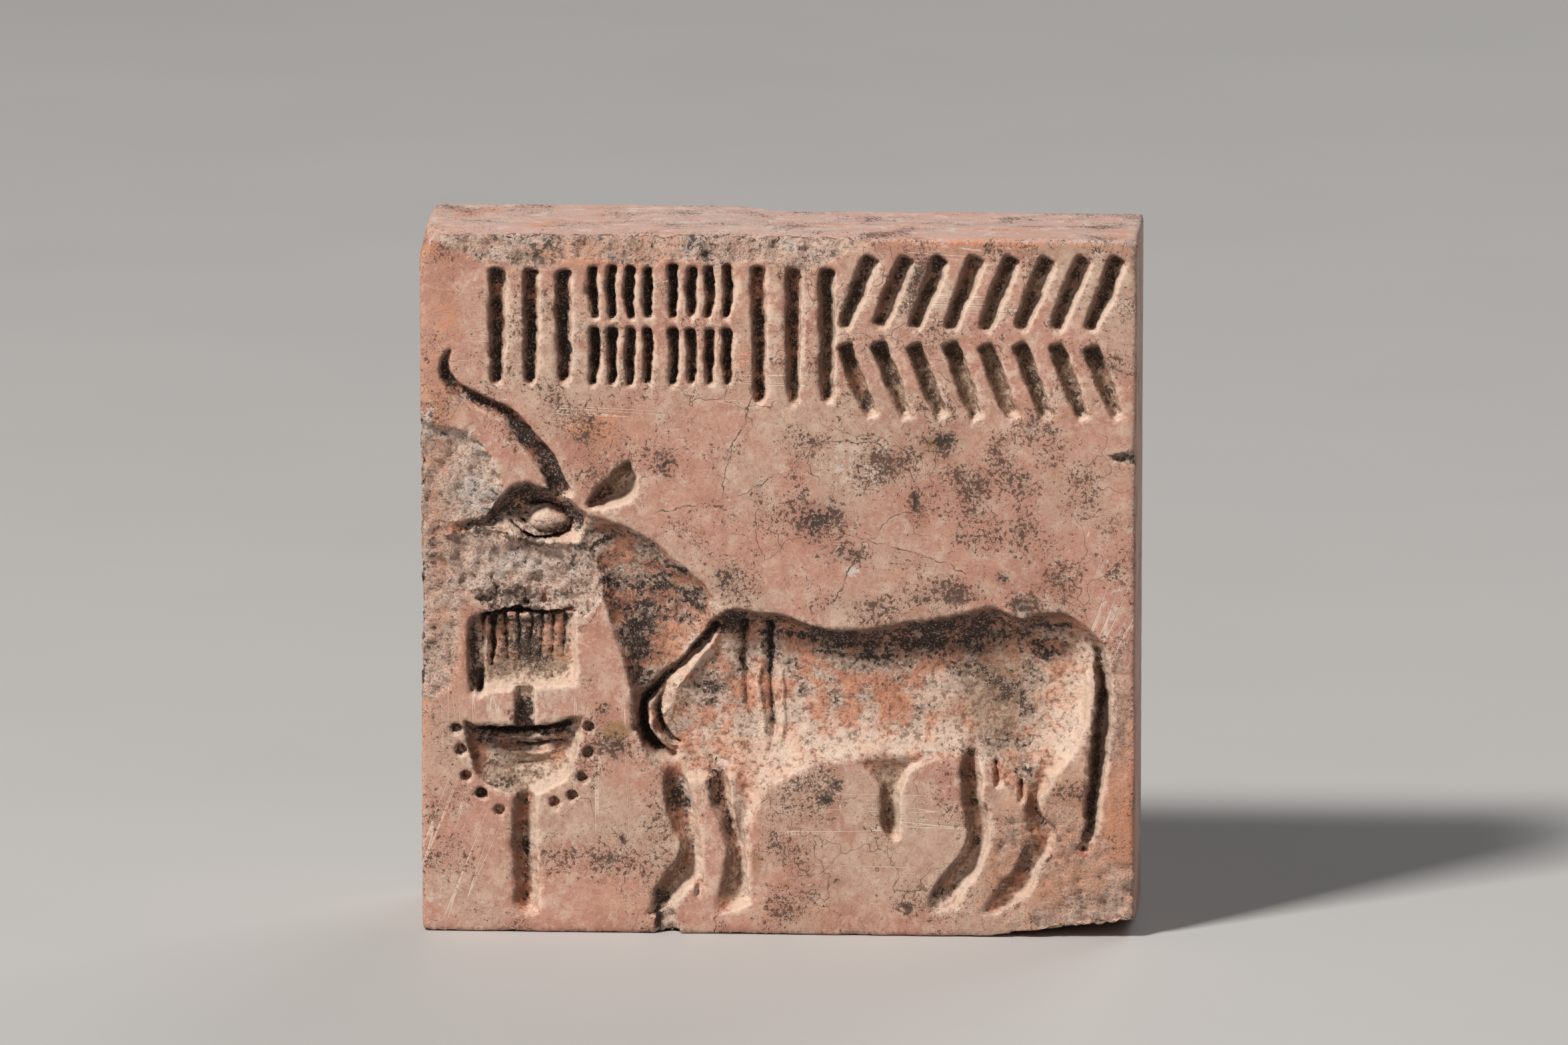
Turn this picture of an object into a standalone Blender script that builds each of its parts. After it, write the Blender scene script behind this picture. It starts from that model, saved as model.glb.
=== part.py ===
"""A square stamp seal of pale pink stone, carved on its face and with a pierced boss on its back.

The seal stands upright on its lower edge. Its face looks along -Y, +Z is up, and the origin is in the middle
of its foot. Metres throughout. The carving is a set of cutters, each a gouge swept along a path of ribs."""

import math

import bmesh
import bpy
from mathutils import Vector, noise

MM = 0.001

# Sizes of the block
FACE_WIDTH = 36.0 * MM
FACE_HEIGHT = 35.6 * MM
PLATE_THICKNESS = 10.5 * MM
ARRIS_ROUND = 0.3 * MM

# Sizes of the boss on the back
BOSS_DIAMETER = 17.0 * MM
BOSS_HEIGHT = 5.5 * MM
BOSS_GROOVE_WIDTH = 2.2 * MM
BOSS_GROOVE_DEPTH = 1.3 * MM
CORD_HOLE_DIAMETER = 2.6 * MM

# Depths of the carving
CARVING_DEPTH = 2.2 * MM
STROKE_DEPTH = 0.95 * MM
DOT_DEPTH = 0.35 * MM
DOT_RADIUS = 0.32 * MM
DOT_FLOOR_RADIUS = 0.24 * MM

# The carving is laid out on a sheet of this size, x from its middle and z from its foot
SHEET_WIDTH = 36.0
SHEET_HEIGHT = 35.6

# A cutter stands this far out of the stone, so that it never ends in the surface that it cuts
CLEAR = 0.6 * MM
LIP = 0.04 * MM

STONE_COLOUR = (0.62, 0.40, 0.33, 1.0)
STONE_ROUGHNESS = 0.62

FRONT = -(PLATE_THICKNESS + BOSS_HEIGHT) / 2
BACK = FRONT + PLATE_THICKNESS
MIDDLE_HEIGHT = FACE_HEIGHT / 2
UNIT_X = FACE_WIDTH / SHEET_WIDTH
UNIT_Z = FACE_HEIGHT / SHEET_HEIGHT

# Cross sections of a gouge: how far across, from -1 to 1, and what share of the depth is reached there
ROUND = [(-math.cos(a), math.sin(a)) for a in (math.pi * i / 6 for i in range(7))]
BROAD = [(-math.cos(a), math.sin(a) ** 0.8) for a in (math.pi * i / 8 for i in range(9))]
BARREL = [(-math.cos(a), math.sin(a) ** 1.2) for a in (math.pi * i / 8 for i in range(9))]
GROOVE = [(-1.0, 0.0), (-0.55, 0.85), (0.0, 1.0), (0.55, 0.85), (1.0, 0.0)]
FLAT = [(-1.0, 0.0), (-0.82, 0.9), (0.0, 1.0), (0.82, 0.9), (1.0, 0.0)]
KEEL = [(-1.0, 0.0), (-0.1, 0.9), (0.05, 1.0), (0.25, 0.9), (1.0, 0.0)]

# The animal. Each rib is one edge (x, z), the other edge (x, z) and the share of the carving's depth.
TORSO = [
    (-3.6, 8.6, -3.3, 15.9, 0.55),
    (-1.5, 7.6, -2.3, 16.65, 0.74),
    (0.2, 7.95, 0.3, 16.4, 0.72),
    (1.6, 8.65, 1.6, 15.95, 0.66),
    (4.0, 8.98, 3.9, 15.67, 0.62),
    (6.5, 9.05, 6.6, 16.1, 0.64),
    (8.8, 9.0, 8.9, 16.45, 0.7),
    (10.6, 8.3, 10.7, 16.9, 0.78),
    (12.3, 7.1, 12.2, 16.35, 0.8),
    (13.6, 7.95, 13.6, 16.65, 0.78),
    (14.8, 9.0, 14.9, 16.4, 0.7),
    (15.6, 10.6, 15.7, 15.4, 0.5),
]
NECK = [
    (-10.3, 19.8, -10.0, 21.5, 0.2),
    (-9.8, 19.3, -9.2, 21.35, 0.4),
    (-9.3, 18.4, -8.2, 21.1, 0.5),
    (-8.75, 16.9, -6.6, 20.35, 0.62),
    (-8.35, 15.6, -5.0, 19.1, 0.7),
    (-7.95, 14.4, -3.6, 17.9, 0.75),
    (-7.6, 13.2, -3.0, 16.6, 0.76),
    (-7.4, 11.8, -3.4, 14.6, 0.7),
    (-7.3, 10.4, -4.4, 12.2, 0.6),
]
SHOULDER = [
    (-3.6, 16.0, -1.3, 16.4, 0.5),
    (-5.0, 14.0, -0.9, 14.5, 0.68),
    (-6.2, 12.2, -0.8, 12.5, 0.7),
    (-6.9, 10.4, -0.8, 10.6, 0.66),
    (-6.6, 9.0, -0.9, 9.0, 0.52),
    (-5.9, 8.2, -1.2, 8.0, 0.36),
]
HEAD = [
    (-16.75, 20.35, -16.75, 20.85, 0.12),
    (-15.9, 20.4, -15.9, 21.05, 0.3),
    (-14.9, 20.45, -14.9, 21.15, 0.4),
    (-14.3, 20.4, -14.3, 21.8, 0.52),
    (-13.6, 20.25, -13.5, 22.75, 0.62),
    (-12.8, 20.0, -12.7, 23.05, 0.68),
    (-11.8, 19.8, -11.6, 22.8, 0.68),
    (-10.7, 19.7, -10.5, 22.3, 0.6),
    (-10.0, 19.9, -9.7, 21.6, 0.45),
]
EAR = [
    (-9.3, 21.7, -9.6, 22.1, 0.3),
    (-8.2, 21.9, -9.1, 22.75, 0.52),
    (-7.4, 22.2, -8.6, 23.2, 0.6),
    (-7.08, 22.8, -8.25, 23.65, 0.58),
    (-7.07, 23.4, -7.9, 24.0, 0.45),
    (-7.3, 23.9, -7.55, 24.17, 0.2),
]
FORELEG_NEAR = [
    (-6.1, 9.4, -4.7, 9.2, 0.25),
    (-5.85, 8.2, -4.55, 8.1, 0.46),
    (-5.8, 7.2, -4.3, 7.2, 0.55),
    (-5.55, 6.1, -4.0, 6.1, 0.6),
    (-5.25, 5.2, -3.95, 5.2, 0.6),
    (-4.95, 4.6, -3.85, 4.5, 0.6),
    (-5.1, 3.8, -3.8, 3.6, 0.58),
    (-5.85, 2.95, -4.0, 2.7, 0.5),
    (-6.3, 2.1, -4.6, 2.2, 0.42),
    (-6.45, 1.5, -5.1, 1.5, 0.36),
    (-6.9, 1.0, -5.3, 1.05, 0.2),
]
FORELEG_FAR = [
    (-3.75, 9.4, -2.5, 9.3, 0.25),
    (-3.65, 8.3, -2.4, 8.2, 0.48),
    (-3.5, 7.3, -2.35, 7.2, 0.55),
    (-3.2, 6.3, -2.3, 6.3, 0.52),
    (-2.85, 5.3, -1.95, 5.2, 0.5),
    (-2.65, 4.4, -1.6, 4.3, 0.5),
    (-2.8, 3.3, -1.5, 3.2, 0.5),
    (-3.0, 2.3, -1.45, 2.2, 0.46),
    (-3.2, 1.5, -1.3, 1.65, 0.34),
    (-3.3, 1.1, -1.9, 1.3, 0.2),
]
CHEST_SLOPE = [
    (-3.4, 9.6, -0.2, 8.9, 0.3),
    (-2.8, 8.3, -0.5, 7.7, 0.34),
    (-2.4, 6.9, -0.85, 6.6, 0.27),
    (-2.1, 5.8, -1.3, 5.7, 0.2),
    (-1.9, 4.6, -1.35, 4.4, 0.12),
]
SHEATH = [
    (3.5, 9.2, 8.3, 9.2, 0.15),
    (4.6, 8.3, 6.9, 8.6, 0.34),
    (5.15, 7.6, 6.3, 7.8, 0.38),
    (5.25, 6.8, 6.2, 6.8, 0.38),
    (5.2, 6.0, 6.18, 6.0, 0.38),
    (5.35, 5.4, 6.15, 5.4, 0.36),
    (5.6, 5.12, 6.1, 5.12, 0.28),
]
HINDLEG_NEAR = [
    (8.9, 10.2, 10.6, 10.2, 0.25),
    (9.1, 9.0, 10.35, 9.0, 0.5),
    (9.2, 7.8, 10.35, 7.8, 0.56),
    (9.3, 6.8, 10.4, 6.8, 0.58),
    (9.5, 5.9, 10.7, 6.0, 0.58),
    (9.55, 5.2, 10.75, 5.2, 0.56),
    (9.2, 4.3, 10.5, 4.3, 0.52),
    (8.7, 3.6, 10.3, 3.5, 0.48),
    (8.1, 2.9, 9.9, 2.9, 0.42),
    (7.7, 2.2, 9.35, 2.2, 0.36),
    (7.3, 1.45, 9.3, 1.5, 0.22),
]
HINDLEG_FAR = [
    (11.4, 9.4, 14.2, 9.4, 0.35),
    (12.0, 8.0, 13.8, 8.0, 0.5),
    (12.6, 7.2, 13.2, 7.1, 0.5),
    (12.4, 6.5, 13.3, 6.4, 0.5),
    (12.4, 5.8, 13.8, 5.6, 0.52),
    (12.6, 5.0, 14.0, 5.0, 0.5),
    (12.2, 4.2, 13.6, 4.3, 0.46),
    (11.7, 3.4, 13.25, 3.5, 0.42),
    (11.1, 2.6, 12.9, 2.7, 0.38),
    (10.6, 1.9, 12.3, 1.9, 0.32),
    (10.1, 1.15, 11.2, 1.35, 0.18),
]
TAIL = [
    (14.0, 15.7, 14.3, 16.6, 0.45),
    (14.95, 15.2, 15.5, 16.05, 0.5),
    (15.75, 14.1, 16.55, 14.8, 0.6),
    (15.98, 12.5, 16.9, 12.6, 0.68),
    (15.9, 10.8, 16.82, 10.9, 0.68),
    (15.75, 9.0, 16.65, 9.0, 0.64),
    (15.6, 7.4, 16.4, 7.3, 0.56),
    (15.45, 5.8, 16.2, 5.7, 0.42),
    (15.2, 4.4, 15.8, 4.3, 0.2),
]

# Lines cut deeper into the animal: path points (x, z, half width, share of the carving's depth)
HORN = [
    (-16.5, 29.75, 0.16, 0.12),
    (-16.75, 28.8, 0.3, 0.24),
    (-16.3, 27.9, 0.36, 0.32),
    (-15.2, 27.25, 0.38, 0.32),
    (-13.6, 26.5, 0.42, 0.34),
    (-12.5, 25.2, 0.52, 0.38),
    (-11.5, 23.9, 0.55, 0.45),
    (-10.8, 22.4, 0.5, 0.5),
]
COLLAR_OUTER = [
    (-3.1, 15.8, 0.35, 0.8),
    (-4.2, 14.3, 0.42, 0.95),
    (-5.6, 13.0, 0.42, 1.0),
    (-6.65, 11.8, 0.4, 1.0),
    (-6.75, 10.5, 0.38, 1.0),
    (-6.2, 9.45, 0.36, 0.95),
    (-5.2, 9.0, 0.28, 0.75),
]
COLLAR_INNER = [
    (-5.4, 12.9, 0.2, 0.8),
    (-6.05, 11.9, 0.26, 0.9),
    (-6.05, 10.9, 0.26, 0.9),
    (-5.7, 10.1, 0.26, 0.88),
    (-5.0, 9.6, 0.2, 0.75),
]
STRIPE_LEFT = [
    (-1.75, 16.0, 0.4, 0.85),
    (-1.8, 14.2, 0.42, 0.92),
    (-1.7, 12.6, 0.36, 0.88),
    (-1.45, 11.0, 0.28, 0.76),
]
STRIPE_MIDDLE = [
    (-0.45, 15.9, 0.3, 0.84),
    (-0.45, 14.0, 0.32, 0.9),
    (-0.4, 12.0, 0.3, 0.86),
    (-0.3, 10.0, 0.24, 0.74),
]
DEWCLAW = [(-4.0, 3.4, 0.16, 0.15), (-3.98, 2.7, 0.24, 0.22), (-4.0, 2.0, 0.18, 0.15)]

# The offering stand in front of the animal
CAGE = [
    (-15.4, 12.1, -15.45, 16.25, 0.34),
    (-13.0, 12.45, -13.0, 16.5, 0.42),
    (-10.3, 12.65, -10.4, 16.65, 0.42),
]
CAGE_BARS = 8
CAGE_BAR_FIRST_X = -14.9
CAGE_BAR_LAST_X = -10.8
CAGE_BAR_LOW_Z = 12.95
CAGE_BAR_HIGH_Z = 16.2
CAGE_BAR_DEPTH = 0.5
CAGE_BAR_FOOT_HALF = 0.14
CAGE_BAR_HEAD_HALF = 0.18
STAND_NECK = [(-12.75, 12.5, 0.5, 0.3), (-12.75, 11.4, 0.52, 0.34), (-12.75, 10.3, 0.5, 0.4)]
BOWL = [
    (-15.75, 10.1, -15.8, 10.9, 0.2),
    (-15.2, 8.0, -15.2, 10.65, 0.45),
    (-14.2, 7.25, -14.1, 10.57, 0.56),
    (-12.9, 6.95, -12.9, 10.6, 0.6),
    (-11.6, 7.3, -11.6, 10.7, 0.56),
    (-10.6, 8.0, -10.6, 10.95, 0.42),
    (-9.95, 9.7, -9.9, 11.1, 0.15),
]
BOWL_LINES = [
    [(-15.2, 10.25, 0.16, 0.6), (-12.9, 10.2, 0.24, 0.82), (-10.6, 10.6, 0.16, 0.6)],
    [(-15.0, 9.7, 0.14, 0.56), (-12.9, 9.48, 0.2, 0.74), (-10.9, 9.85, 0.14, 0.56)],
]
POLE = [
    (-13.35, 7.3, -12.25, 7.3, 0.3),
    (-13.42, 6.3, -12.15, 6.3, 0.5),
    (-13.42, 4.0, -12.12, 4.0, 0.54),
    (-13.4, 1.9, -12.05, 1.9, 0.5),
    (-13.3, 1.1, -11.95, 1.1, 0.3),
]
DOTS = [
    (-16.2, 10.4),
    (-16.0, 9.3),
    (-15.75, 8.0),
    (-14.95, 7.1),
    (-14.1, 6.25),
    (-11.3, 6.65),
    (-10.4, 7.0),
    (-9.85, 7.95),
    (-9.55, 9.25),
    (-9.5, 10.5),
]

# A stroke is narrower at its foot than in its middle, and shallower at both ends
STROKE_FOOT_WIDTH = 0.8
STROKE_FOOT_SHARE = 0.8
STROKE_HEAD_SHARE = 0.9

# Rows of plain strokes along the top of the face: first x, last x, low z, high z, how many, lean, half width
STROKE_ROWS = [
    (-14.1, -10.7, 28.3, 33.7, 3, 0.0, 0.42),
    (-9.2, -6.5, 31.6, 33.9, 4, 0.0, 0.27),
    (-9.2, -6.5, 28.2, 30.8, 4, 0.0, 0.27),
    (-5.2, -2.5, 31.6, 34.0, 4, 0.0, 0.27),
    (-5.2, -2.5, 28.2, 30.8, 4, 0.0, 0.27),
    (-0.9, 2.5, 27.4, 33.9, 3, 0.0, 0.4),
    (4.0, 16.4, 31.2, 34.5, 8, 1.3, 0.45),
    (4.0, 16.4, 26.7, 30.1, 8, -1.3, 0.45),
]

# Broken places: x, z, half width, half height, depth in millimetres, unevenness
BREAKS = [
    (-17.2, 23.2, 3.0, 2.7, 0.55, 0.12),
    (-15.6, 22.8, 1.9, 1.7, 0.4, 0.12),
    (-17.7, 17.0, 2.0, 5.2, 0.4, 0.15),
    (-14.6, 18.8, 2.0, 1.5, 0.55, 0.2),
    (-12.6, 18.5, 2.4, 1.7, 0.85, 0.22),
    (-10.6, 18.3, 2.1, 1.9, 0.8, 0.22),
    (-12.4, 17.1, 2.6, 0.8, 0.7, 0.25),
    (-5.6, 0.2, 0.6, 1.5, 0.5, 0.1),
    (17.9, 24.6, 1.2, 0.25, 0.3, 0.1),
]

# How many lumps a dent's floor has across it
BREAK_LUMPS = 2.3

# The long break along the top front arris: where it starts and ends, its height on the face, its reach back
ARRIS_BREAK_FIRST_X = -17.2
ARRIS_BREAK_LAST_X = 4.6
ARRIS_BREAK_RINGS = 17
ARRIS_BREAK_HEIGHT = 1.3 * MM
ARRIS_BREAK_REACH = 0.7 * MM

# How fast it grows from its ends, its least share there, and how much its height, reach and floor wander
ARRIS_BREAK_GROWTH_LEFT = 5.0
ARRIS_BREAK_GROWTH_RIGHT = 3.0
ARRIS_BREAK_LEAST = 0.15
ARRIS_BREAK_HEIGHT_WANDER = 0.3
ARRIS_BREAK_REACH_WANDER = 0.5
ARRIS_BREAK_FLOOR_SHARE = 0.55
ARRIS_BREAK_FLOOR_WANDER = 0.4
ARRIS_BREAK_RIPPLE = 0.83

# Worn corners: the upper left one, and the foot of the right side
CORNER_WEAR_ACROSS = 2.2 * MM
CORNER_WEAR_DOWN = 1.5 * MM
CORNER_WEAR_AT_BACK = 1 / 3
FOOT_WEAR_LENGTH = 8.4 * MM
FOOT_WEAR_RISE = 1.0 * MM
FOOT_WEAR_REACH = 4.0 * MM

# The raised eye: its place, half width, half height, the depth of its middle and its swell
EYE = (-11.65, 20.95, 1.0, 0.66)
EYE_MIDDLE_DEPTH = 1.15 * MM
EYE_SWELL = 0.75 * MM


def collection(name):
    """A new collection in the scene."""
    made = bpy.data.collections.new(name)
    bpy.context.scene.collection.children.link(made)
    return made


def on_face(x, z, depth=0.0):
    """A point of the layout sheet, sunk this far into the stone."""
    return Vector((x * UNIT_X, FRONT + depth, z * UNIT_Z))


def smooth_rows(rows, steps):
    """Rows of numbers with more rows between them, on a Catmull-Rom curve through the given ones."""
    padded = [rows[0]] + list(rows) + [rows[-1]]
    result = []
    for i in range(1, len(padded) - 2):
        before, start, end, after = padded[i - 1 : i + 3]
        for k in range(steps):
            t = k / steps
            result.append(tuple(spline(a, b, c, d, t) for a, b, c, d in zip(before, start, end, after)))
    result.append(tuple(rows[-1]))
    return result


def spline(a, b, c, d, t):
    """The Catmull-Rom value between b and c."""
    square = 2 * a - 5 * b + 4 * c - d
    cube = 3 * b - a - 3 * c + d
    return 0.5 * (2 * b + (c - a) * t + square * t**2 + cube * t**3)


def finish_cutter(name, bm):
    """A closed mesh as a wire cutter, with its faces pointing out."""
    bmesh.ops.recalc_face_normals(bm, faces=bm.faces[:])
    mesh = bpy.data.meshes.new(name)
    bm.to_mesh(mesh)
    bm.free()
    cutter = bpy.data.objects.new(name, mesh)
    cutter.display_type = "WIRE"
    cutter.hide_render = True
    return cutter


def loft(name, rings):
    """A closed skin over rings of the same number of points, flat at both ends."""
    bm = bmesh.new()
    loops = [[bm.verts.new(point) for point in ring] for ring in rings]
    count = len(loops[0])
    for near, far in zip(loops, loops[1:]):
        for i in range(count):
            j = (i + 1) % count
            bm.faces.new((near[i], near[j], far[j], far[i]))
    bm.faces.new(loops[0])
    bm.faces.new(list(reversed(loops[-1])))
    return finish_cutter(name, bm)


def skewed(across, skew):
    """A place across the gouge, with the middle of the section moved towards one edge."""
    return across + skew * (1.0 - across * across)


def gouge(name, ribs, section, depth=CARVING_DEPTH, steps=2, skew=0.0):
    """A cutter that is as wide as its ribs and as deep as the share each of them holds."""
    rings = []
    for ax, az, bx, bz, share in smooth_rows(ribs, steps):
        first = on_face(ax, az)
        last = on_face(bx, bz)
        ring = [first - Vector((0.0, CLEAR, 0.0))]
        for across, sunk in section:
            place = (skewed(across, skew) + 1.0) / 2
            point = first.lerp(last, place)
            point.y += depth * share * sunk - LIP
            ring.append(point)
        ring.append(last - Vector((0.0, CLEAR, 0.0)))
        rings.append(ring)
    return loft(name, rings)


def ribs_along(path):
    """The ribs of a line cut along a path of points with half widths."""
    ribs = []
    for i, (x, z, half, share) in enumerate(path):
        x0, z0 = path[max(i - 1, 0)][:2]
        x1, z1 = path[min(i + 1, len(path) - 1)][:2]
        run = Vector((x1 - x0, z1 - z0)).normalized()
        side = Vector((-run.y, run.x)) * half
        ribs.append((x - side.x, z - side.y, x + side.x, z + side.y, share))
    return ribs


def line(name, path, section=None, depth=CARVING_DEPTH, steps=2):
    """A narrow groove along a path."""
    return gouge(name, ribs_along(path), section or GROOVE, depth, steps)


def stroke_rows():
    """Plain strokes side by side, each deepest in its middle, in rows along the top of the face."""
    cutters = []
    for row, (first_x, last_x, low_z, high_z, count, lean, half) in enumerate(STROKE_ROWS):
        for i in range(count):
            x = first_x + (last_x - first_x) * i / (count - 1)
            mid_z = (low_z + high_z) / 2
            path = [
                (x - lean / 2, low_z, half * STROKE_FOOT_WIDTH, STROKE_FOOT_SHARE),
                (x, mid_z, half, 1.0),
                (x + lean / 2, high_z, half, STROKE_HEAD_SHARE),
            ]
            cutters.append(line(f"stroke_{row}_{i}", path, depth=STROKE_DEPTH, steps=1))
    return cutters


def cage_bars():
    """Upright lines inside the cage of the offering stand."""
    cutters = []
    for i in range(CAGE_BARS):
        x = CAGE_BAR_FIRST_X + (CAGE_BAR_LAST_X - CAGE_BAR_FIRST_X) * i / (CAGE_BARS - 1)
        path = [
            (x, CAGE_BAR_LOW_Z, CAGE_BAR_FOOT_HALF, CAGE_BAR_DEPTH),
            (x, CAGE_BAR_HIGH_Z, CAGE_BAR_HEAD_HALF, CAGE_BAR_DEPTH),
        ]
        cutters.append(line(f"cage_bar_{i}", path, steps=1))
    return cutters


def dots():
    """Small drilled pits around the bowl of the stand."""
    cutters = []
    for i, (x, z) in enumerate(DOTS):
        bm = bmesh.new()
        bmesh.ops.create_cone(
            bm,
            cap_ends=True,
            segments=10,
            radius1=DOT_FLOOR_RADIUS,
            radius2=DOT_RADIUS,
            depth=DOT_DEPTH + CLEAR,
        )
        for vert in bm.verts:
            middle = on_face(x, z, (DOT_DEPTH - CLEAR) / 2)
            vert.co = middle + Vector((vert.co.x, -vert.co.z, vert.co.y))
        cutters.append(finish_cutter(f"dot_{i}", bm))
    return cutters


def breaks():
    """Dents with an uneven floor, where the stone has broken away."""
    cutters = []
    for i, (x, z, half_x, half_z, depth, uneven) in enumerate(BREAKS):
        bm = bmesh.new()
        bmesh.ops.create_icosphere(bm, subdivisions=2, radius=1.0)
        for vert in bm.verts:
            away = 1.0 + uneven * noise.noise(vert.co * BREAK_LUMPS + Vector((x, z, i)))
            co = vert.co * away
            vert.co = on_face(x + co.x * half_x, z + co.z * half_z, co.y * depth * MM)
        cutters.append(finish_cutter(f"break_{i}", bm))
    return cutters


def ripple(ring, track):
    """Smooth noise along the broken arris, different on each track."""
    return noise.noise(Vector((ring * ARRIS_BREAK_RIPPLE, track * math.e, 0.5)))


def broken_top_arris():
    """The long uneven break along the top front arris, shallow at both ends."""
    rings = []
    for i in range(ARRIS_BREAK_RINGS):
        along = i / (ARRIS_BREAK_RINGS - 1)
        x = (ARRIS_BREAK_FIRST_X + (ARRIS_BREAK_LAST_X - ARRIS_BREAK_FIRST_X) * along) * UNIT_X
        from_left = ARRIS_BREAK_LEAST + ARRIS_BREAK_GROWTH_LEFT * along
        from_right = ARRIS_BREAK_LEAST + ARRIS_BREAK_GROWTH_RIGHT * (1.0 - along)
        swell = min(1.0, from_left, from_right)
        height = ARRIS_BREAK_HEIGHT * swell * (1.0 + ARRIS_BREAK_HEIGHT_WANDER * ripple(i, 1))
        reach = ARRIS_BREAK_REACH * swell
        low = FACE_HEIGHT - height
        back = FRONT + reach * (1.0 + ARRIS_BREAK_REACH_WANDER * ripple(i, 2))
        bulge = FRONT + reach * (ARRIS_BREAK_FLOOR_SHARE + ARRIS_BREAK_FLOOR_WANDER * ripple(i, 3))
        section = [
            (FRONT - CLEAR, low),
            (FRONT - LIP, low),
            (bulge, (low + FACE_HEIGHT) / 2),
            (back, FACE_HEIGHT + LIP),
            (back, FACE_HEIGHT + CLEAR),
            (FRONT - CLEAR, FACE_HEIGHT + CLEAR),
        ]
        rings.append([Vector((x, y, z)) for y, z in section])
    return loft("broken_top_arris", rings)


def wedge(name, corners):
    """A cutter with flat faces, the hull of a few corners."""
    bm = bmesh.new()
    for corner in corners:
        bm.verts.new(corner)
    bmesh.ops.convex_hull(bm, input=bm.verts[:])
    return finish_cutter(name, bm)


def worn_corners():
    """The corners that have lost stone: upper left, and along the foot at the right."""
    left = -FACE_WIDTH / 2 - CLEAR
    right = FACE_WIDTH / 2 + CLEAR
    out = FRONT - CLEAR
    top = FACE_HEIGHT + CLEAR
    upper_left = [
        Vector((left, out, FACE_HEIGHT - CORNER_WEAR_DOWN)),
        Vector((left, out, top)),
        Vector((left + CLEAR + CORNER_WEAR_ACROSS, out, top)),
        Vector((left + CLEAR + CORNER_WEAR_ACROSS * CORNER_WEAR_AT_BACK, BACK + CLEAR, top)),
        Vector((left, BACK + CLEAR, top)),
        Vector((left, BACK + CLEAR, FACE_HEIGHT - CORNER_WEAR_DOWN * CORNER_WEAR_AT_BACK)),
    ]
    foot_right = [
        Vector((FACE_WIDTH / 2 - FOOT_WEAR_LENGTH, out, -CLEAR)),
        Vector((FACE_WIDTH / 2 - FOOT_WEAR_LENGTH, out, 0.0)),
        Vector((right, out, FOOT_WEAR_RISE)),
        Vector((right, out, -CLEAR)),
        Vector((FACE_WIDTH / 2 - FOOT_WEAR_LENGTH / 2, FRONT + FOOT_WEAR_REACH, -CLEAR)),
        Vector((right, FRONT + FOOT_WEAR_REACH, -CLEAR)),
        Vector((right, FRONT + FOOT_WEAR_REACH, 0.0)),
    ]
    return [wedge("worn_upper_left", upper_left), wedge("worn_foot_right", foot_right)]


def eye():
    """The raised eye, a flattened ball that stands on the floor of the head."""
    x, z, half_x, half_z = EYE
    bm = bmesh.new()
    bmesh.ops.create_uvsphere(bm, u_segments=14, v_segments=9, radius=1.0)
    for vert in bm.verts:
        co = vert.co.copy()
        vert.co = on_face(x + co.x * half_x, z + co.y * half_z, EYE_MIDDLE_DEPTH - co.z * EYE_SWELL)
    return finish_cutter("eye", bm)


def animal():
    """The one-horned bull that faces left."""
    return [
        gouge("torso", TORSO, BARREL, skew=0.3),
        gouge("neck", NECK, BROAD, skew=0.15),
        gouge("shoulder", SHOULDER, BARREL),
        gouge("head", HEAD, ROUND, steps=1),
        gouge("ear", EAR, ROUND, steps=1),
        gouge("foreleg_near", FORELEG_NEAR, ROUND, steps=1, skew=0.12),
        gouge("foreleg_far", FORELEG_FAR, ROUND, steps=1, skew=0.3),
        gouge("chest_slope", CHEST_SLOPE, GROOVE, steps=1),
        gouge("sheath", SHEATH, FLAT, steps=1),
        gouge("hindleg_near", HINDLEG_NEAR, ROUND, steps=1, skew=0.1),
        gouge("hindleg_far", HINDLEG_FAR, ROUND, steps=1, skew=0.3),
        gouge("tail", TAIL, ROUND, steps=1, skew=-0.25),
        line("horn", HORN),
        line("collar_outer", COLLAR_OUTER),
        line("collar_inner", COLLAR_INNER, steps=1),
        line("stripe_left", STRIPE_LEFT, steps=1),
        line("stripe_middle", STRIPE_MIDDLE, steps=1),
        line("dewclaw", DEWCLAW, steps=1),
    ]


def offering_stand():
    """The stand before the animal: a cage, a bowl with drops around it and a pole."""
    cutters = [
        gouge("cage", CAGE, FLAT, steps=1),
        line("stand_neck", STAND_NECK, FLAT, steps=1),
        gouge("bowl", BOWL, BROAD, steps=1, skew=0.3),
        gouge("pole", POLE, KEEL, steps=1),
    ]
    for i, path in enumerate(BOWL_LINES):
        cutters.append(line(f"bowl_line_{i}", path, steps=2))
    return cutters + cage_bars() + dots()


def stone():
    """The seal's stone, pale pink and dull."""
    material = bpy.data.materials.new("pink_stone")
    material.use_nodes = True
    shader = material.node_tree.nodes["Principled BSDF"]
    shader.inputs["Base Color"].default_value = STONE_COLOUR
    shader.inputs["Roughness"].default_value = STONE_ROUGHNESS
    shader.inputs["Metallic"].default_value = 0.0
    return material


def plate():
    """The square block, with its arrises a little rounded."""
    bpy.ops.mesh.primitive_cube_add(size=1.0, location=(0.0, (FRONT + BACK) / 2, MIDDLE_HEIGHT))
    block = bpy.context.active_object
    block.scale = (FACE_WIDTH, PLATE_THICKNESS, FACE_HEIGHT)
    bpy.ops.object.transform_apply(location=False, rotation=False, scale=True)
    bevel = block.modifiers.new("arrises", "BEVEL")
    bevel.width = ARRIS_ROUND
    bevel.segments = 2
    return block


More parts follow.
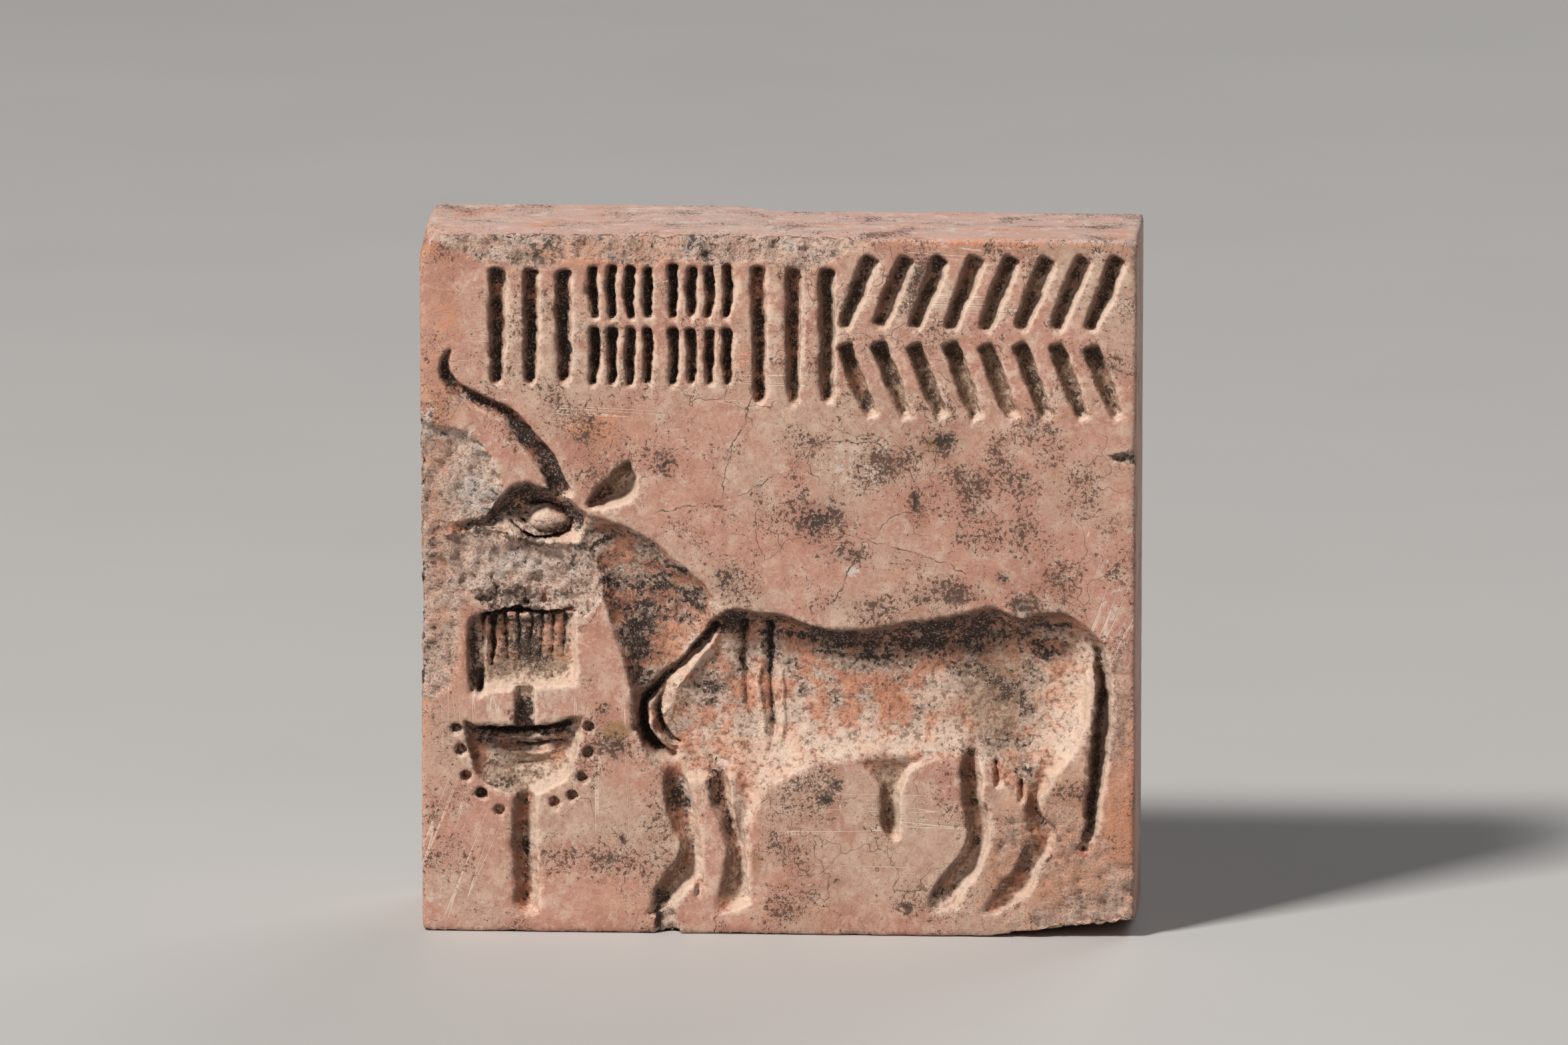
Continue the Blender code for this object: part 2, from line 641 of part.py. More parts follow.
def boss():
    """The low dome on the back, set half into the plate."""
    bpy.ops.mesh.primitive_uv_sphere_add(
        segments=32,
        ring_count=16,
        radius=1.0,
        location=(0.0, BACK, MIDDLE_HEIGHT),
        rotation=(math.pi / 2, 0.0, 0.0),
    )
    dome = bpy.context.active_object
    dome.name = "boss"
    dome.scale = (BOSS_DIAMETER / 2, BOSS_DIAMETER / 2, BOSS_HEIGHT)
    bpy.ops.object.transform_apply(location=False, rotation=True, scale=True)
    dome.display_type = "WIRE"
    dome.hide_render = True
    return dome


def boss_cuts():
    """The groove over the boss, and the cord hole midway between the plate and the floor of that groove."""
    reach = BOSS_DIAMETER + 2 * CLEAR
    bpy.ops.mesh.primitive_cylinder_add(
        vertices=24,
        radius=CORD_HOLE_DIAMETER / 2,
        depth=reach,
        location=(0.0, BACK + (BOSS_HEIGHT - BOSS_GROOVE_DEPTH) / 2, MIDDLE_HEIGHT),
        rotation=(0.0, math.pi / 2, 0.0),
    )
    hole = bpy.context.active_object
    hole.name = "cord_hole"
    bpy.ops.mesh.primitive_cylinder_add(
        vertices=16,
        radius=BOSS_GROOVE_WIDTH / 2,
        depth=reach,
        location=(0.0, BACK + BOSS_HEIGHT + BOSS_GROOVE_WIDTH / 2 - BOSS_GROOVE_DEPTH, MIDDLE_HEIGHT),
    )
    groove = bpy.context.active_object
    groove.name = "boss_groove"
    for cutter in (hole, groove):
        cutter.display_type = "WIRE"
        cutter.hide_render = True
    return [hole, groove]


def move_to(target, obj):
    """Put an object into one collection only."""
    for held in list(obj.users_collection):
        held.objects.unlink(obj)
    target.objects.link(obj)


def boolean(obj, name, operation, operand):
    """A Boolean with every cutter of a collection."""
    modifier = obj.modifiers.new(name, "BOOLEAN")
    modifier.operation = operation
    modifier.solver = "EXACT"
    modifier.operand_type = "COLLECTION"
    modifier.collection = operand
    return modifier


def build():
    """Make the block, join the boss to it and cut the carving out of it."""
    for obj in list(bpy.data.objects):
        bpy.data.objects.remove(obj, do_unlink=True)
    seal_collection = collection("stone_seal")
    joined = collection("joined_boss")
    carving = collection("carving_cutters")
    raised = collection("raised_eye")
    seal = plate()
    seal.name = "stone_seal"
    seal.data.materials.append(stone())
    move_to(seal_collection, seal)
    move_to(joined, boss())
    cutters = boss_cuts() + animal() + offering_stand() + stroke_rows()
    for cutter in cutters + breaks() + worn_corners() + [broken_top_arris()]:
        move_to(carving, cutter)
    move_to(raised, eye())
    boolean(seal, "boss", "UNION", joined)
    boolean(seal, "carving", "DIFFERENCE", carving)
    boolean(seal, "eye", "UNION", raised)


build()
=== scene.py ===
# %% [markdown]
# # A carved stone stamp seal
#
# The object is a square seal of fired pink stone, a little over the size of a postage stamp. A bull with one
# horn is sunk into its face, an offering stand is in front of it, and rows of plain strokes run above it. On
# its back is a pierced boss for a cord. This lesson makes its surface as one fine mesh around a plain model
# that fixes its size. Lengths are metres, and `MM` turns millimetres into them.

import math

import bmesh
import bpy
import numpy as np
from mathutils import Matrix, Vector, noise
from mathutils.bvhtree import BVHTree


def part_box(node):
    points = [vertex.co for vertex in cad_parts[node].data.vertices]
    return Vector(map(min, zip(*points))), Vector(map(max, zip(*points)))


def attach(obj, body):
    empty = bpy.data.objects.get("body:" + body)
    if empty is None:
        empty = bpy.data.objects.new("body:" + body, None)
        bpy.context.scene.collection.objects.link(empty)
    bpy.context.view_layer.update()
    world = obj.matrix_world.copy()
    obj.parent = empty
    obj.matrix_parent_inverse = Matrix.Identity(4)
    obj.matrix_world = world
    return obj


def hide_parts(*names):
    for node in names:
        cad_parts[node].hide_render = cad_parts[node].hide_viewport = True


MM = 0.001
NOISE_SEED = 7
noise.seed_set(NOISE_SEED)  # noise_vector would start from the clock without it
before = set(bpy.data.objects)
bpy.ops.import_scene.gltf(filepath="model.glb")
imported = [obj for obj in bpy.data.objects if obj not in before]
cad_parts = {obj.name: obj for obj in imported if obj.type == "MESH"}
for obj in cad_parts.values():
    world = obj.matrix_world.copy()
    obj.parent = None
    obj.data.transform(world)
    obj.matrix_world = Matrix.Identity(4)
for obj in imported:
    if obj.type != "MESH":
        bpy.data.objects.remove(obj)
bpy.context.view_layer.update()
low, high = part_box("stone_seal")
FACE_WIDTH = high.x - low.x
FACE_HEIGHT = high.z - low.z
FRONT = low.y
PLATE_THICKNESS = 10.5 * MM
BACK = FRONT + PLATE_THICKNESS
print(f"face {FACE_WIDTH / MM:.1f} by {FACE_HEIGHT / MM:.1f} mm, carved side at y = {FRONT / MM:.1f} mm")

# %% [markdown]
# ## The camera
#
# The picture to match was taken with a long lens from a little above. The lens is worked out from two values
# that were fitted to the seal's outline: how many pixels wide the picture is, and how many pixels a length
# equal to the distance would cover. A long lens keeps the square face nearly square. The camera is turned
# with `to_track_quat`, which points its -Z at the place it looks at.

# %% Camera
PICTURE_WIDTH_PX = 2353
FOCAL_LENGTH_PX = 21515
SENSOR_WIDTH_MM = 36.0
CAMERA_DISTANCE = 720 * MM
CAMERA_AZIMUTH = math.radians(3.2)
CAMERA_ELEVATION = math.radians(10.15)
AIM_RIGHT = 0.325 * MM
AIM_HEIGHT = 21.13 * MM

camera_data = bpy.data.cameras.new("camera")
camera_data.sensor_width = SENSOR_WIDTH_MM
camera_data.lens = FOCAL_LENGTH_PX / PICTURE_WIDTH_PX * SENSOR_WIDTH_MM
camera_data.clip_start = 10 * MM
camera = bpy.data.objects.new("camera", camera_data)
bpy.context.scene.collection.objects.link(camera)
aim = Vector((AIM_RIGHT * math.cos(CAMERA_AZIMUTH), FRONT + AIM_RIGHT * math.sin(CAMERA_AZIMUTH), AIM_HEIGHT))
camera_back = Vector((
    math.sin(CAMERA_AZIMUTH) * math.cos(CAMERA_ELEVATION),
    -math.cos(CAMERA_AZIMUTH) * math.cos(CAMERA_ELEVATION),
    math.sin(CAMERA_ELEVATION),
))
camera.location = aim + CAMERA_DISTANCE * camera_back
camera.rotation_euler = camera_back.to_track_quat("Z", "Y").to_euler()
bpy.context.scene.camera = camera
print(f"lens {camera_data.lens:.0f} mm at {CAMERA_DISTANCE / MM:.0f} mm")

# %% [markdown]
# ## Shader sums as Python expressions
#
# A stone needs a long recipe of masks and colours. Wiring it by hand would take a page of links, so a small
# class wraps a node's output socket and overloads the operators: `1 - mask` adds a Math node and returns a
# new wire. Numbers go through Math nodes, while colours and vectors go through Mix and Vector Math, because
# a Math node would turn a colour grey. Every other node comes from one method, `node`.

# %% Wires and recipes
class Wire:
    """A number that comes out of a node, to be used in sums."""

    def __init__(self, recipe, socket):
        self.recipe = recipe
        self.socket = socket

    def sum(self, operation, *values):
        return self.recipe.node("ShaderNodeMath", {"operation": operation}, values)

    def __add__(self, other):
        return self.sum("ADD", self, other)

    def __sub__(self, other):
        return self.sum("SUBTRACT", self, other)

    def __rsub__(self, other):
        return self.sum("SUBTRACT", other, self)

    def __mul__(self, other):
        return self.sum("MULTIPLY", self, other)

    __radd__ = __add__
    __rmul__ = __mul__

    def least(self, other):
        return self.sum("MINIMUM", self, other)

    def most(self, other):
        return self.sum("MAXIMUM", self, other)

    def size(self):
        return self.sum("ABSOLUTE", self)

    def rise(self, start, end):
        """0 below start and 1 above end, with a soft step between them. It falls where start is above end."""
        settings = {"interpolation_type": "SMOOTHSTEP"}
        values = {"Value": self, "From Min": start, "From Max": end}
        if start > end:
            values.update({"From Min": end, "From Max": start, "To Min": 1.0, "To Max": 0.0})
        return self.recipe.node("ShaderNodeMapRange", settings, values)


class Recipe:
    """The node tree of one material."""

    def __init__(self, name):
        self.material = bpy.data.materials.new(name)
        self.material.use_nodes = True
        self.tree = self.material.node_tree
        self.shader = self.tree.nodes["Principled BSDF"]

    def node(self, kind, settings=None, values=None, output=0):
        """Add a node: its settings first, then a value or a wire for each socket, by name or in order."""
        made = self.tree.nodes.new(kind)
        for name, value in (settings or {}).items():
            setattr(made, name, value)
        named = values if isinstance(values, dict) else dict(enumerate(values or ()))
        for key, value in named.items():
            self.feed(made.inputs[key], value)
        return Wire(self, made.outputs[output])

    def feed(self, socket, value):
        """Link a wire to a socket, or set a plain value on it."""
        if isinstance(value, Wire):
            self.tree.links.new(value.socket, socket)
        else:
            socket.default_value = value

    def mix(self, mask, first, second):
        """A colour that turns from the first to the second as the mask goes from 0 to 1."""
        first, second = [c if isinstance(c, Wire) else (*c, 1.0) for c in (first, second)]
        return self.node("ShaderNodeMix", {"data_type": "RGBA"}, {0: mask, 6: first, 7: second}, output=2)

    def coats(self, colour, layers):
        """A colour under several coats: each layer is a mask and the colour that it brings."""
        for mask, tint in layers:
            colour = self.mix(mask, colour, tint)
        return colour

    def vector(self, operation, *values):
        return self.node("ShaderNodeVectorMath", {"operation": operation}, values)

    def noise(self, place, scale, detail=4.0, roughness=0.55):
        values = {"Vector": place, "Scale": scale, "Detail": detail, "Roughness": roughness}
        return self.node("ShaderNodeTexNoise", {}, values)

    def attribute(self, name):
        """A number that the mesh stores at each of its vertices."""
        return self.node("ShaderNodeAttribute", {"attribute_name": name}, {}, output="Fac")


print("a wire adds, takes away, multiplies and makes soft steps")

# %% [markdown]
# ## The floor
#
# The seal stands on a plain pale floor. A single big plane does, because the camera looks down a little and
# sees only floor behind the seal. A touch of noise in its roughness keeps it from looking like paper.

# %% Floor
FLOOR_SIZE = 6.0
FLOOR_COLOUR = (0.56, 0.55, 0.54, 1.0)
FLOOR_DROP = 0.02 * MM
FLOOR_NOISE_SCALE = 40.0

sheet = bmesh.new()
bmesh.ops.create_grid(sheet, x_segments=1, y_segments=1, size=FLOOR_SIZE / 2)
bmesh.ops.translate(sheet, verts=sheet.verts[:], vec=(0.0, 0.0, -FLOOR_DROP))
floor_mesh = bpy.data.meshes.new("floor")
sheet.to_mesh(floor_mesh)
sheet.free()
floor = bpy.data.objects.new("floor", floor_mesh)
bpy.context.scene.collection.objects.link(floor)

floor_recipe = Recipe("pale_floor")
floor_noise = floor_recipe.noise(floor_recipe.node("ShaderNodeTexCoord", output="Object"), FLOOR_NOISE_SCALE)
floor_recipe.shader.inputs["Base Color"].default_value = FLOOR_COLOUR
floor_recipe.feed(floor_recipe.shader.inputs["Roughness"], 0.5 + 0.2 * floor_noise)
floor_mesh.materials.append(floor_recipe.material)
print(f"floor {FLOOR_SIZE:.0f} m wide")

# %% [markdown]
# ## The light
#
# Cut stone is read by its shadows. One soft key light high on the left rakes over the face, so that the upper
# and left walls of each cut fall dark and the lower and right walls shine. A large weak light from the right
# and the front opens the shadows, a third one is for views from behind, and a pale world does the rest. Area
# lights are turned like the camera.

# %% Lights
STUDIO_LIGHTS = [
    # name, place, width, power in watts, colour
    ("key", (-0.42, -0.46, 0.70), 0.16, 9.6, (1.0, 0.97, 0.93)),
    ("fill", (0.75, -0.85, 0.35), 0.9, 0.7, (0.93, 0.96, 1.0)),
    ("back", (0.35, 0.70, 0.55), 0.5, 2.0, (1.0, 1.0, 1.0)),
]
WORLD_COLOUR = (0.80, 0.82, 0.85, 1.0)
WORLD_STRENGTH = 0.04

seal_middle = (low + high) / 2
for name, spot, width, power, tint in STUDIO_LIGHTS:
    lamp = bpy.data.lights.new(name, "AREA")
    lamp.shape = "SQUARE"
    lamp.size = width
    lamp.energy = power
    lamp.color = tint
    light = bpy.data.objects.new(name, lamp)
    light.location = spot
    light.rotation_euler = (light.location - seal_middle).to_track_quat("Z", "Y").to_euler()
    bpy.context.scene.collection.objects.link(light)

world = bpy.data.worlds.new("studio")
world.use_nodes = True
world.node_tree.nodes["Background"].inputs["Color"].default_value = WORLD_COLOUR
world.node_tree.nodes["Background"].inputs["Strength"].default_value = WORLD_STRENGTH
bpy.context.scene.world = world
bpy.context.scene.view_settings.view_transform = "Standard"
print(f"{len(STUDIO_LIGHTS)} lights")

# %% [markdown]
# ## How the carver's cuts are described
#
# The real carving was cut with small chisels and drills, one long gouge beside another. Each gouge is a list
# of ribs: two points on the face, in millimetres from the middle of its foot, and the share of the full depth
# that is reached between them. A sculpted brush stroke or a painted height map could do the same, but ribs
# can be read and changed. A smooth curve (Catmull-Rom) gives the ribs between the written ones.

# %% Layout of the face
SHEET_WIDTH = 36.0
SHEET_HEIGHT = 35.6
UNIT_X = FACE_WIDTH / SHEET_WIDTH
UNIT_Z = FACE_HEIGHT / SHEET_HEIGHT
CARVING_DEPTH = 2.2 * MM
STROKE_DEPTH = 0.95 * MM
LIP = 0.03 * MM
END_RUN = 0.22
SECTION_POINTS = 19
RIB_STEPS = 6


def on_face(x, z, depth=0.0):
    """A point of the layout, sunk this far into the stone."""
    return Vector((x * UNIT_X, FRONT + depth, z * UNIT_Z))


def spline(a, b, c, d, t):
    """The Catmull-Rom value between b and c."""
    return 0.5 * (2 * b + (c - a) * t + (2 * a - 5 * b + 4 * c - d) * t**2 + (3 * b - a - 3 * c + d) * t**3)


def smooth_rows(rows, steps):
    """Rows of numbers with more rows between them, on a smooth curve through the given ones."""
    padded = [rows[0]] + list(rows) + [rows[-1]]
    result = []
    for i in range(1, len(padded) - 2):
        for k in range(steps):
            result.append(tuple(spline(*numbers, k / steps) for numbers in zip(*padded[i - 1 : i + 3])))
    result.append(tuple(rows[-1]))
    return result


def section(power, fullness):
    """A gouge's cross section from edge to edge: places from -1 to 1, with the share of the depth there."""
    across = [-math.cos(math.pi * i / (SECTION_POINTS - 1)) for i in range(SECTION_POINTS)]
    return [(a, (1 - abs(a) ** power) ** fullness) for a in across]


ROUND = section(2.0, 0.7)
BROAD = section(3.2, 0.7)
BARREL = section(2.2, 0.66)
FLAT = section(6.0, 1.0)
SLOPED = section(1.6, 0.9)
VEE = section(1.3, 0.9)
print(f"a gouge is {len(ROUND)} points across")

# %% [markdown]
# ## Bending a grid into a gouge
#
# Each cut starts as a flat grid from `bmesh.ops.create_grid`. Its columns are moved across the gouge and its
# rows along the ribs. All grids go into one mesh, and a BVH tree made from it can answer the only question
# that matters later: how deep is the stone cut here? Boolean cutters would work too, but they leave long thin
# faces that can't carry the fine grain.

# %% Gouges
cuts = bmesh.new()


def end_ribs(rows):
    """The ribs with one more at each end, a short way out and at no depth, so that a cut has sloping ends."""
    result = list(rows)
    for near, far, at in ((rows[0], rows[1], 0), (rows[-1], rows[-2], len(rows) + 1)):
        run = Vector((near[0] + near[2] - far[0] - far[2], near[1] + near[3] - far[1] - far[3])).normalized()
        out = run * END_RUN
        result.insert(at, (near[0] + out.x, near[1] + out.y, near[2] + out.x, near[3] + out.y, 0.0))
    return result


def gouge(ribs, shape, depth=CARVING_DEPTH, skew=0.0):
    """Bend a flat grid into the surface that a gouge leaves, and add it to the cuts."""
    rows = end_ribs(smooth_rows(ribs, RIB_STEPS))
    columns = len(shape) - 1
    grid = bmesh.ops.create_grid(cuts, x_segments=columns, y_segments=len(rows) - 1, size=0.5)
    for vert in grid["verts"]:
        across, sunk = shape[round((vert.co.x + 0.5) * columns)]
        ax, az, bx, bz, share = rows[round((vert.co.y + 0.5) * (len(rows) - 1))]
        way = (across + skew * (1.0 - across * across) + 1.0) / 2
        vert.co = on_face(ax + (bx - ax) * way, az + (bz - az) * way, depth * share * sunk - LIP)


def line(path, shape=ROUND, depth=CARVING_DEPTH):
    """A narrow groove along a path of points, each with half its width and its share of the depth."""
    ribs = []
    for i, (x, z, half, share) in enumerate(path):
        x0, z0 = path[max(i - 1, 0)][:2]
        x1, z1 = path[min(i + 1, len(path) - 1)][:2]
        side = Vector((z0 - z1, x1 - x0)).normalized() * half
        ribs.append((x - side.x, z - side.y, x + side.x, z + side.y, share))
    gouge(ribs, shape, depth)


print("gouges are bent grids")

# %% [markdown]
# ## The bull's body
#
# The deepest and broadest cuts make the barrel, the neck and the shoulder. Their sections lean, so that the
# wall under the back line is steep and the belly rises slowly towards the light.

# %% Body, neck and shoulder
TORSO = [
    (-3.6, 8.6, -3.3, 15.9, 0.55), (-1.5, 7.6, -2.3, 16.65, 0.74), (0.2, 7.95, 0.3, 16.4, 0.72),
    (1.6, 8.65, 1.6, 15.95, 0.66), (4.0, 8.98, 3.9, 15.67, 0.62), (6.5, 9.05, 6.6, 16.1, 0.64),
    (8.8, 9.0, 8.9, 16.45, 0.7), (10.6, 8.3, 10.7, 16.9, 0.78), (12.3, 7.1, 12.2, 16.35, 0.8),
    (13.6, 7.95, 13.6, 16.65, 0.78), (14.8, 9.0, 14.9, 16.4, 0.7), (15.6, 10.6, 15.7, 15.4, 0.5),
]
NECK = [
    (-10.3, 19.8, -10.0, 21.5, 0.2), (-9.8, 19.3, -9.2, 21.35, 0.4), (-9.3, 18.4, -8.2, 21.1, 0.5),
    (-8.75, 16.9, -6.6, 20.35, 0.62), (-8.35, 15.6, -5.0, 19.1, 0.7), (-7.95, 14.4, -3.6, 17.9, 0.75),
    (-7.6, 13.2, -3.0, 16.6, 0.76), (-7.4, 11.8, -3.4, 14.6, 0.7), (-7.3, 10.4, -4.4, 12.2, 0.6),
]
SHOULDER = [
    (-3.6, 16.0, -1.3, 16.4, 0.5), (-5.0, 14.0, -0.9, 14.5, 0.68), (-6.2, 12.2, -0.8, 12.5, 0.7),
    (-6.9, 10.4, -0.8, 10.6, 0.66), (-6.6, 9.0, -0.9, 9.0, 0.52), (-5.9, 8.2, -1.2, 8.0, 0.36),
]
CHEST_SLOPE = [
    (-3.4, 9.6, -0.2, 8.9, 0.3), (-2.8, 8.3, -0.5, 7.7, 0.34), (-2.4, 6.9, -0.85, 6.6, 0.27),
    (-2.1, 5.8, -1.3, 5.7, 0.2), (-1.9, 4.6, -1.35, 4.4, 0.12),
]
gouge(TORSO, BARREL, skew=0.3)
gouge(NECK, ROUND, skew=-0.05)
gouge(SHOULDER, BARREL)
gouge(CHEST_SLOPE, VEE)
print(f"cuts so far: {len(cuts.faces)} faces")

# %% [markdown]
# ## The head
#
# The muzzle, the ear and the one long horn. The eye stands up from the floor of the head: it is a ball that
# is added after the cuts, in a second mesh of things that were left standing.

# %% Head, ear and horn
HEAD = [
    (-16.75, 20.35, -16.75, 20.85, 0.12), (-15.9, 20.4, -15.9, 21.05, 0.3),
    (-14.9, 20.45, -14.9, 21.15, 0.4), (-14.3, 20.4, -14.3, 21.8, 0.52), (-13.6, 20.25, -13.5, 22.75, 0.62),
    (-12.8, 20.0, -12.7, 23.05, 0.68), (-11.8, 19.8, -11.6, 22.8, 0.68), (-10.7, 19.7, -10.5, 22.3, 0.6),
    (-10.0, 19.9, -9.7, 21.6, 0.45),
]
EAR = [
    (-9.3, 21.7, -9.6, 22.1, 0.3), (-8.2, 21.9, -9.1, 22.75, 0.52), (-7.4, 22.2, -8.6, 23.2, 0.6),
    (-7.08, 22.8, -8.25, 23.65, 0.58), (-7.07, 23.4, -7.9, 24.0, 0.45), (-7.3, 23.9, -7.55, 24.17, 0.2),
]
HORN = [
    (-16.5, 29.75, 0.16, 0.12), (-16.75, 28.8, 0.3, 0.24), (-16.3, 27.9, 0.36, 0.32),
    (-15.2, 27.25, 0.38, 0.32), (-13.6, 26.5, 0.42, 0.34), (-12.5, 25.2, 0.52, 0.38),
    (-11.5, 23.9, 0.55, 0.45), (-10.8, 22.4, 0.5, 0.5),
]
EYE_LINES = [
    # the slot over the eye, the ring under it and the pupil in its left corner
    [
        (-13.2, 21.4, 0.1, 0.6), (-12.8, 21.7, 0.15, 0.78), (-12.0, 21.8, 0.18, 0.86),
        (-10.9, 21.6, 0.13, 0.74),
    ],
    [
        (-13.5, 20.9, 0.1, 0.6), (-13.0, 20.4, 0.1, 0.72), (-12.3, 20.15, 0.11, 0.78),
        (-11.3, 20.1, 0.11, 0.78), (-10.6, 20.5, 0.11, 0.76), (-10.45, 21.1, 0.1, 0.7),
    ],
    [(-13.02, 20.95, 0.15, 0.8), (-12.78, 20.8, 0.15, 0.84)],
]
gouge(HEAD, ROUND)
gouge(EAR, ROUND)
line(HORN)
for path in EYE_LINES:
    line(path)

standing = bmesh.new()
EYE_PLACE = on_face(-11.6, 20.98, 1.12 * MM)
EYE_SIZE = Vector((0.92, 0.5, 0.55)) * MM
eye = bmesh.ops.create_uvsphere(standing, u_segments=32, v_segments=20, radius=1.0)["verts"]
bmesh.ops.scale(standing, vec=EYE_SIZE, verts=eye)
bmesh.ops.translate(standing, vec=EYE_PLACE, verts=eye)
print(f"cuts so far: {len(cuts.faces)} faces, left standing: {len(standing.faces)}")

# %% [markdown]
# ## The legs and the tail
#
# Four legs with knees and hoofs, the sheath under the belly, and the tail that hangs from the rump.

# %% Legs and tail
FORELEG_NEAR = [
    (-6.1, 9.4, -4.7, 9.2, 0.25), (-5.85, 8.2, -4.55, 8.1, 0.46), (-5.8, 7.2, -4.3, 7.2, 0.55),
    (-5.55, 6.1, -4.0, 6.1, 0.6), (-5.25, 5.2, -3.95, 5.2, 0.6), (-4.95, 4.6, -3.85, 4.5, 0.6),
    (-5.1, 3.8, -3.8, 3.6, 0.58), (-5.85, 2.95, -4.0, 2.7, 0.5), (-6.3, 2.1, -4.6, 2.2, 0.42),
    (-6.45, 1.5, -5.1, 1.5, 0.36), (-6.9, 1.0, -5.3, 1.05, 0.2),
]
FORELEG_FAR = [
    (-3.75, 9.4, -2.5, 9.3, 0.25), (-3.65, 8.3, -2.4, 8.2, 0.48), (-3.5, 7.3, -2.35, 7.2, 0.55),
    (-3.2, 6.3, -2.3, 6.3, 0.52), (-2.85, 5.3, -1.95, 5.2, 0.5), (-2.65, 4.4, -1.6, 4.3, 0.5),
    (-2.8, 3.3, -1.5, 3.2, 0.5), (-3.0, 2.3, -1.45, 2.2, 0.46), (-3.2, 1.5, -1.3, 1.65, 0.34),
    (-3.3, 1.1, -1.9, 1.3, 0.2),
]
HINDLEG_NEAR = [
    (8.9, 10.2, 10.6, 10.2, 0.25), (9.1, 9.0, 10.35, 9.0, 0.5), (9.2, 7.8, 10.35, 7.8, 0.56),
    (9.3, 6.8, 10.4, 6.8, 0.58), (9.5, 5.9, 10.7, 6.0, 0.58), (9.55, 5.2, 10.75, 5.2, 0.56),
    (9.2, 4.3, 10.5, 4.3, 0.52), (8.7, 3.6, 10.3, 3.5, 0.48), (8.1, 2.9, 9.9, 2.9, 0.42),
    (7.7, 2.2, 9.35, 2.2, 0.36), (7.3, 1.45, 9.3, 1.5, 0.22),
]
HINDLEG_FAR = [
    (11.4, 9.4, 14.2, 9.4, 0.35), (12.0, 8.0, 13.8, 8.0, 0.5), (12.6, 7.2, 13.2, 7.1, 0.5),
    (12.4, 6.5, 13.3, 6.4, 0.5), (12.4, 5.8, 13.8, 5.6, 0.52), (12.6, 5.0, 14.0, 5.0, 0.5),
    (12.2, 4.2, 13.6, 4.3, 0.46), (11.7, 3.4, 13.25, 3.5, 0.42), (11.1, 2.6, 12.9, 2.7, 0.38),
    (10.6, 1.9, 12.3, 1.9, 0.32), (10.1, 1.15, 11.2, 1.35, 0.18),
]
SHEATH = [
    (3.5, 9.2, 8.3, 9.2, 0.15), (4.6, 8.3, 6.9, 8.6, 0.34), (5.15, 7.6, 6.3, 7.8, 0.38),
    (5.25, 6.8, 6.2, 6.8, 0.38), (5.2, 6.0, 6.18, 6.0, 0.38), (5.35, 5.4, 6.15, 5.4, 0.36),
    (5.6, 5.12, 6.1, 5.12, 0.28),
]
TAIL = [
    (14.0, 15.7, 14.3, 16.6, 0.45), (14.95, 15.2, 15.5, 16.05, 0.5), (15.75, 14.1, 16.55, 14.8, 0.6),
    (15.98, 12.5, 16.9, 12.6, 0.68), (15.9, 10.8, 16.82, 10.9, 0.68), (15.75, 9.0, 16.65, 9.0, 0.64),
    (15.6, 7.4, 16.4, 7.3, 0.56), (15.45, 5.8, 16.2, 5.7, 0.42), (15.2, 4.4, 15.8, 4.3, 0.2),
]
DEWCLAW = [(-4.0, 3.4, 0.16, 0.15), (-3.98, 2.7, 0.24, 0.22), (-4.0, 2.0, 0.18, 0.15)]
INNER_LEG_CUTS = [
    [(10.55, 6.7, 0.12, 0.3), (10.55, 5.5, 0.12, 0.22)],
    [(11.0, 8.9, 0.2, 0.5), (11.1, 7.9, 0.2, 0.36)],
    [(12.2, 7.9, 0.22, 0.48), (12.35, 7.1, 0.22, 0.36)],
]
gouge(FORELEG_NEAR, SLOPED, skew=0.12)
gouge(FORELEG_FAR, SLOPED, skew=0.3)
gouge(HINDLEG_NEAR, SLOPED, skew=0.1)
gouge(HINDLEG_FAR, SLOPED, skew=0.48)
gouge(SHEATH, FLAT)
gouge(TAIL, SLOPED, skew=-0.25)
line(DEWCLAW)
for path in INNER_LEG_CUTS:
    line(path)
print(f"cuts so far: {len(cuts.faces)} faces")

# %% [markdown]
# ## Lines cut deeper into the body
#
# The folds of the neck and the stripes over the shoulder are narrow grooves in the floor of the body. What is
# left between two of them stands as a ridge and catches the light.

# %% Collar and shoulder stripes
COLLAR_OUTER = [
    (-3.1, 15.8, 0.35, 0.8), (-4.2, 14.3, 0.42, 0.95), (-5.6, 13.0, 0.42, 1.0), (-6.65, 11.8, 0.4, 1.0),
    (-6.75, 10.5, 0.38, 1.0), (-6.2, 9.45, 0.36, 0.95), (-5.2, 9.0, 0.28, 0.75),
]
COLLAR_INNER = [
    (-5.4, 12.9, 0.2, 0.8), (-6.05, 11.9, 0.26, 0.9), (-6.05, 10.9, 0.26, 0.9), (-5.7, 10.1, 0.26, 0.88),
    (-5.0, 9.6, 0.2, 0.75),
]
STRIPE_LEFT = [
    (-1.75, 16.0, 0.4, 0.85), (-1.8, 14.2, 0.42, 0.92), (-1.7, 12.6, 0.36, 0.88), (-1.45, 11.0, 0.28, 0.76),
]
STRIPE_MIDDLE = [
    (-0.45, 15.9, 0.3, 0.84), (-0.45, 14.0, 0.32, 0.9), (-0.4, 12.0, 0.3, 0.86), (-0.3, 10.0, 0.24, 0.74),
]
for path in (COLLAR_OUTER, COLLAR_INNER, STRIPE_LEFT, STRIPE_MIDDLE):
    line(path)
print(f"cuts so far: {len(cuts.faces)} faces")

# %% [markdown]
# ## The offering stand
#
# A cage with upright bars, a bowl with drilled drops around it, and a pole. The bars and the drops repeat, so
# loops make them.

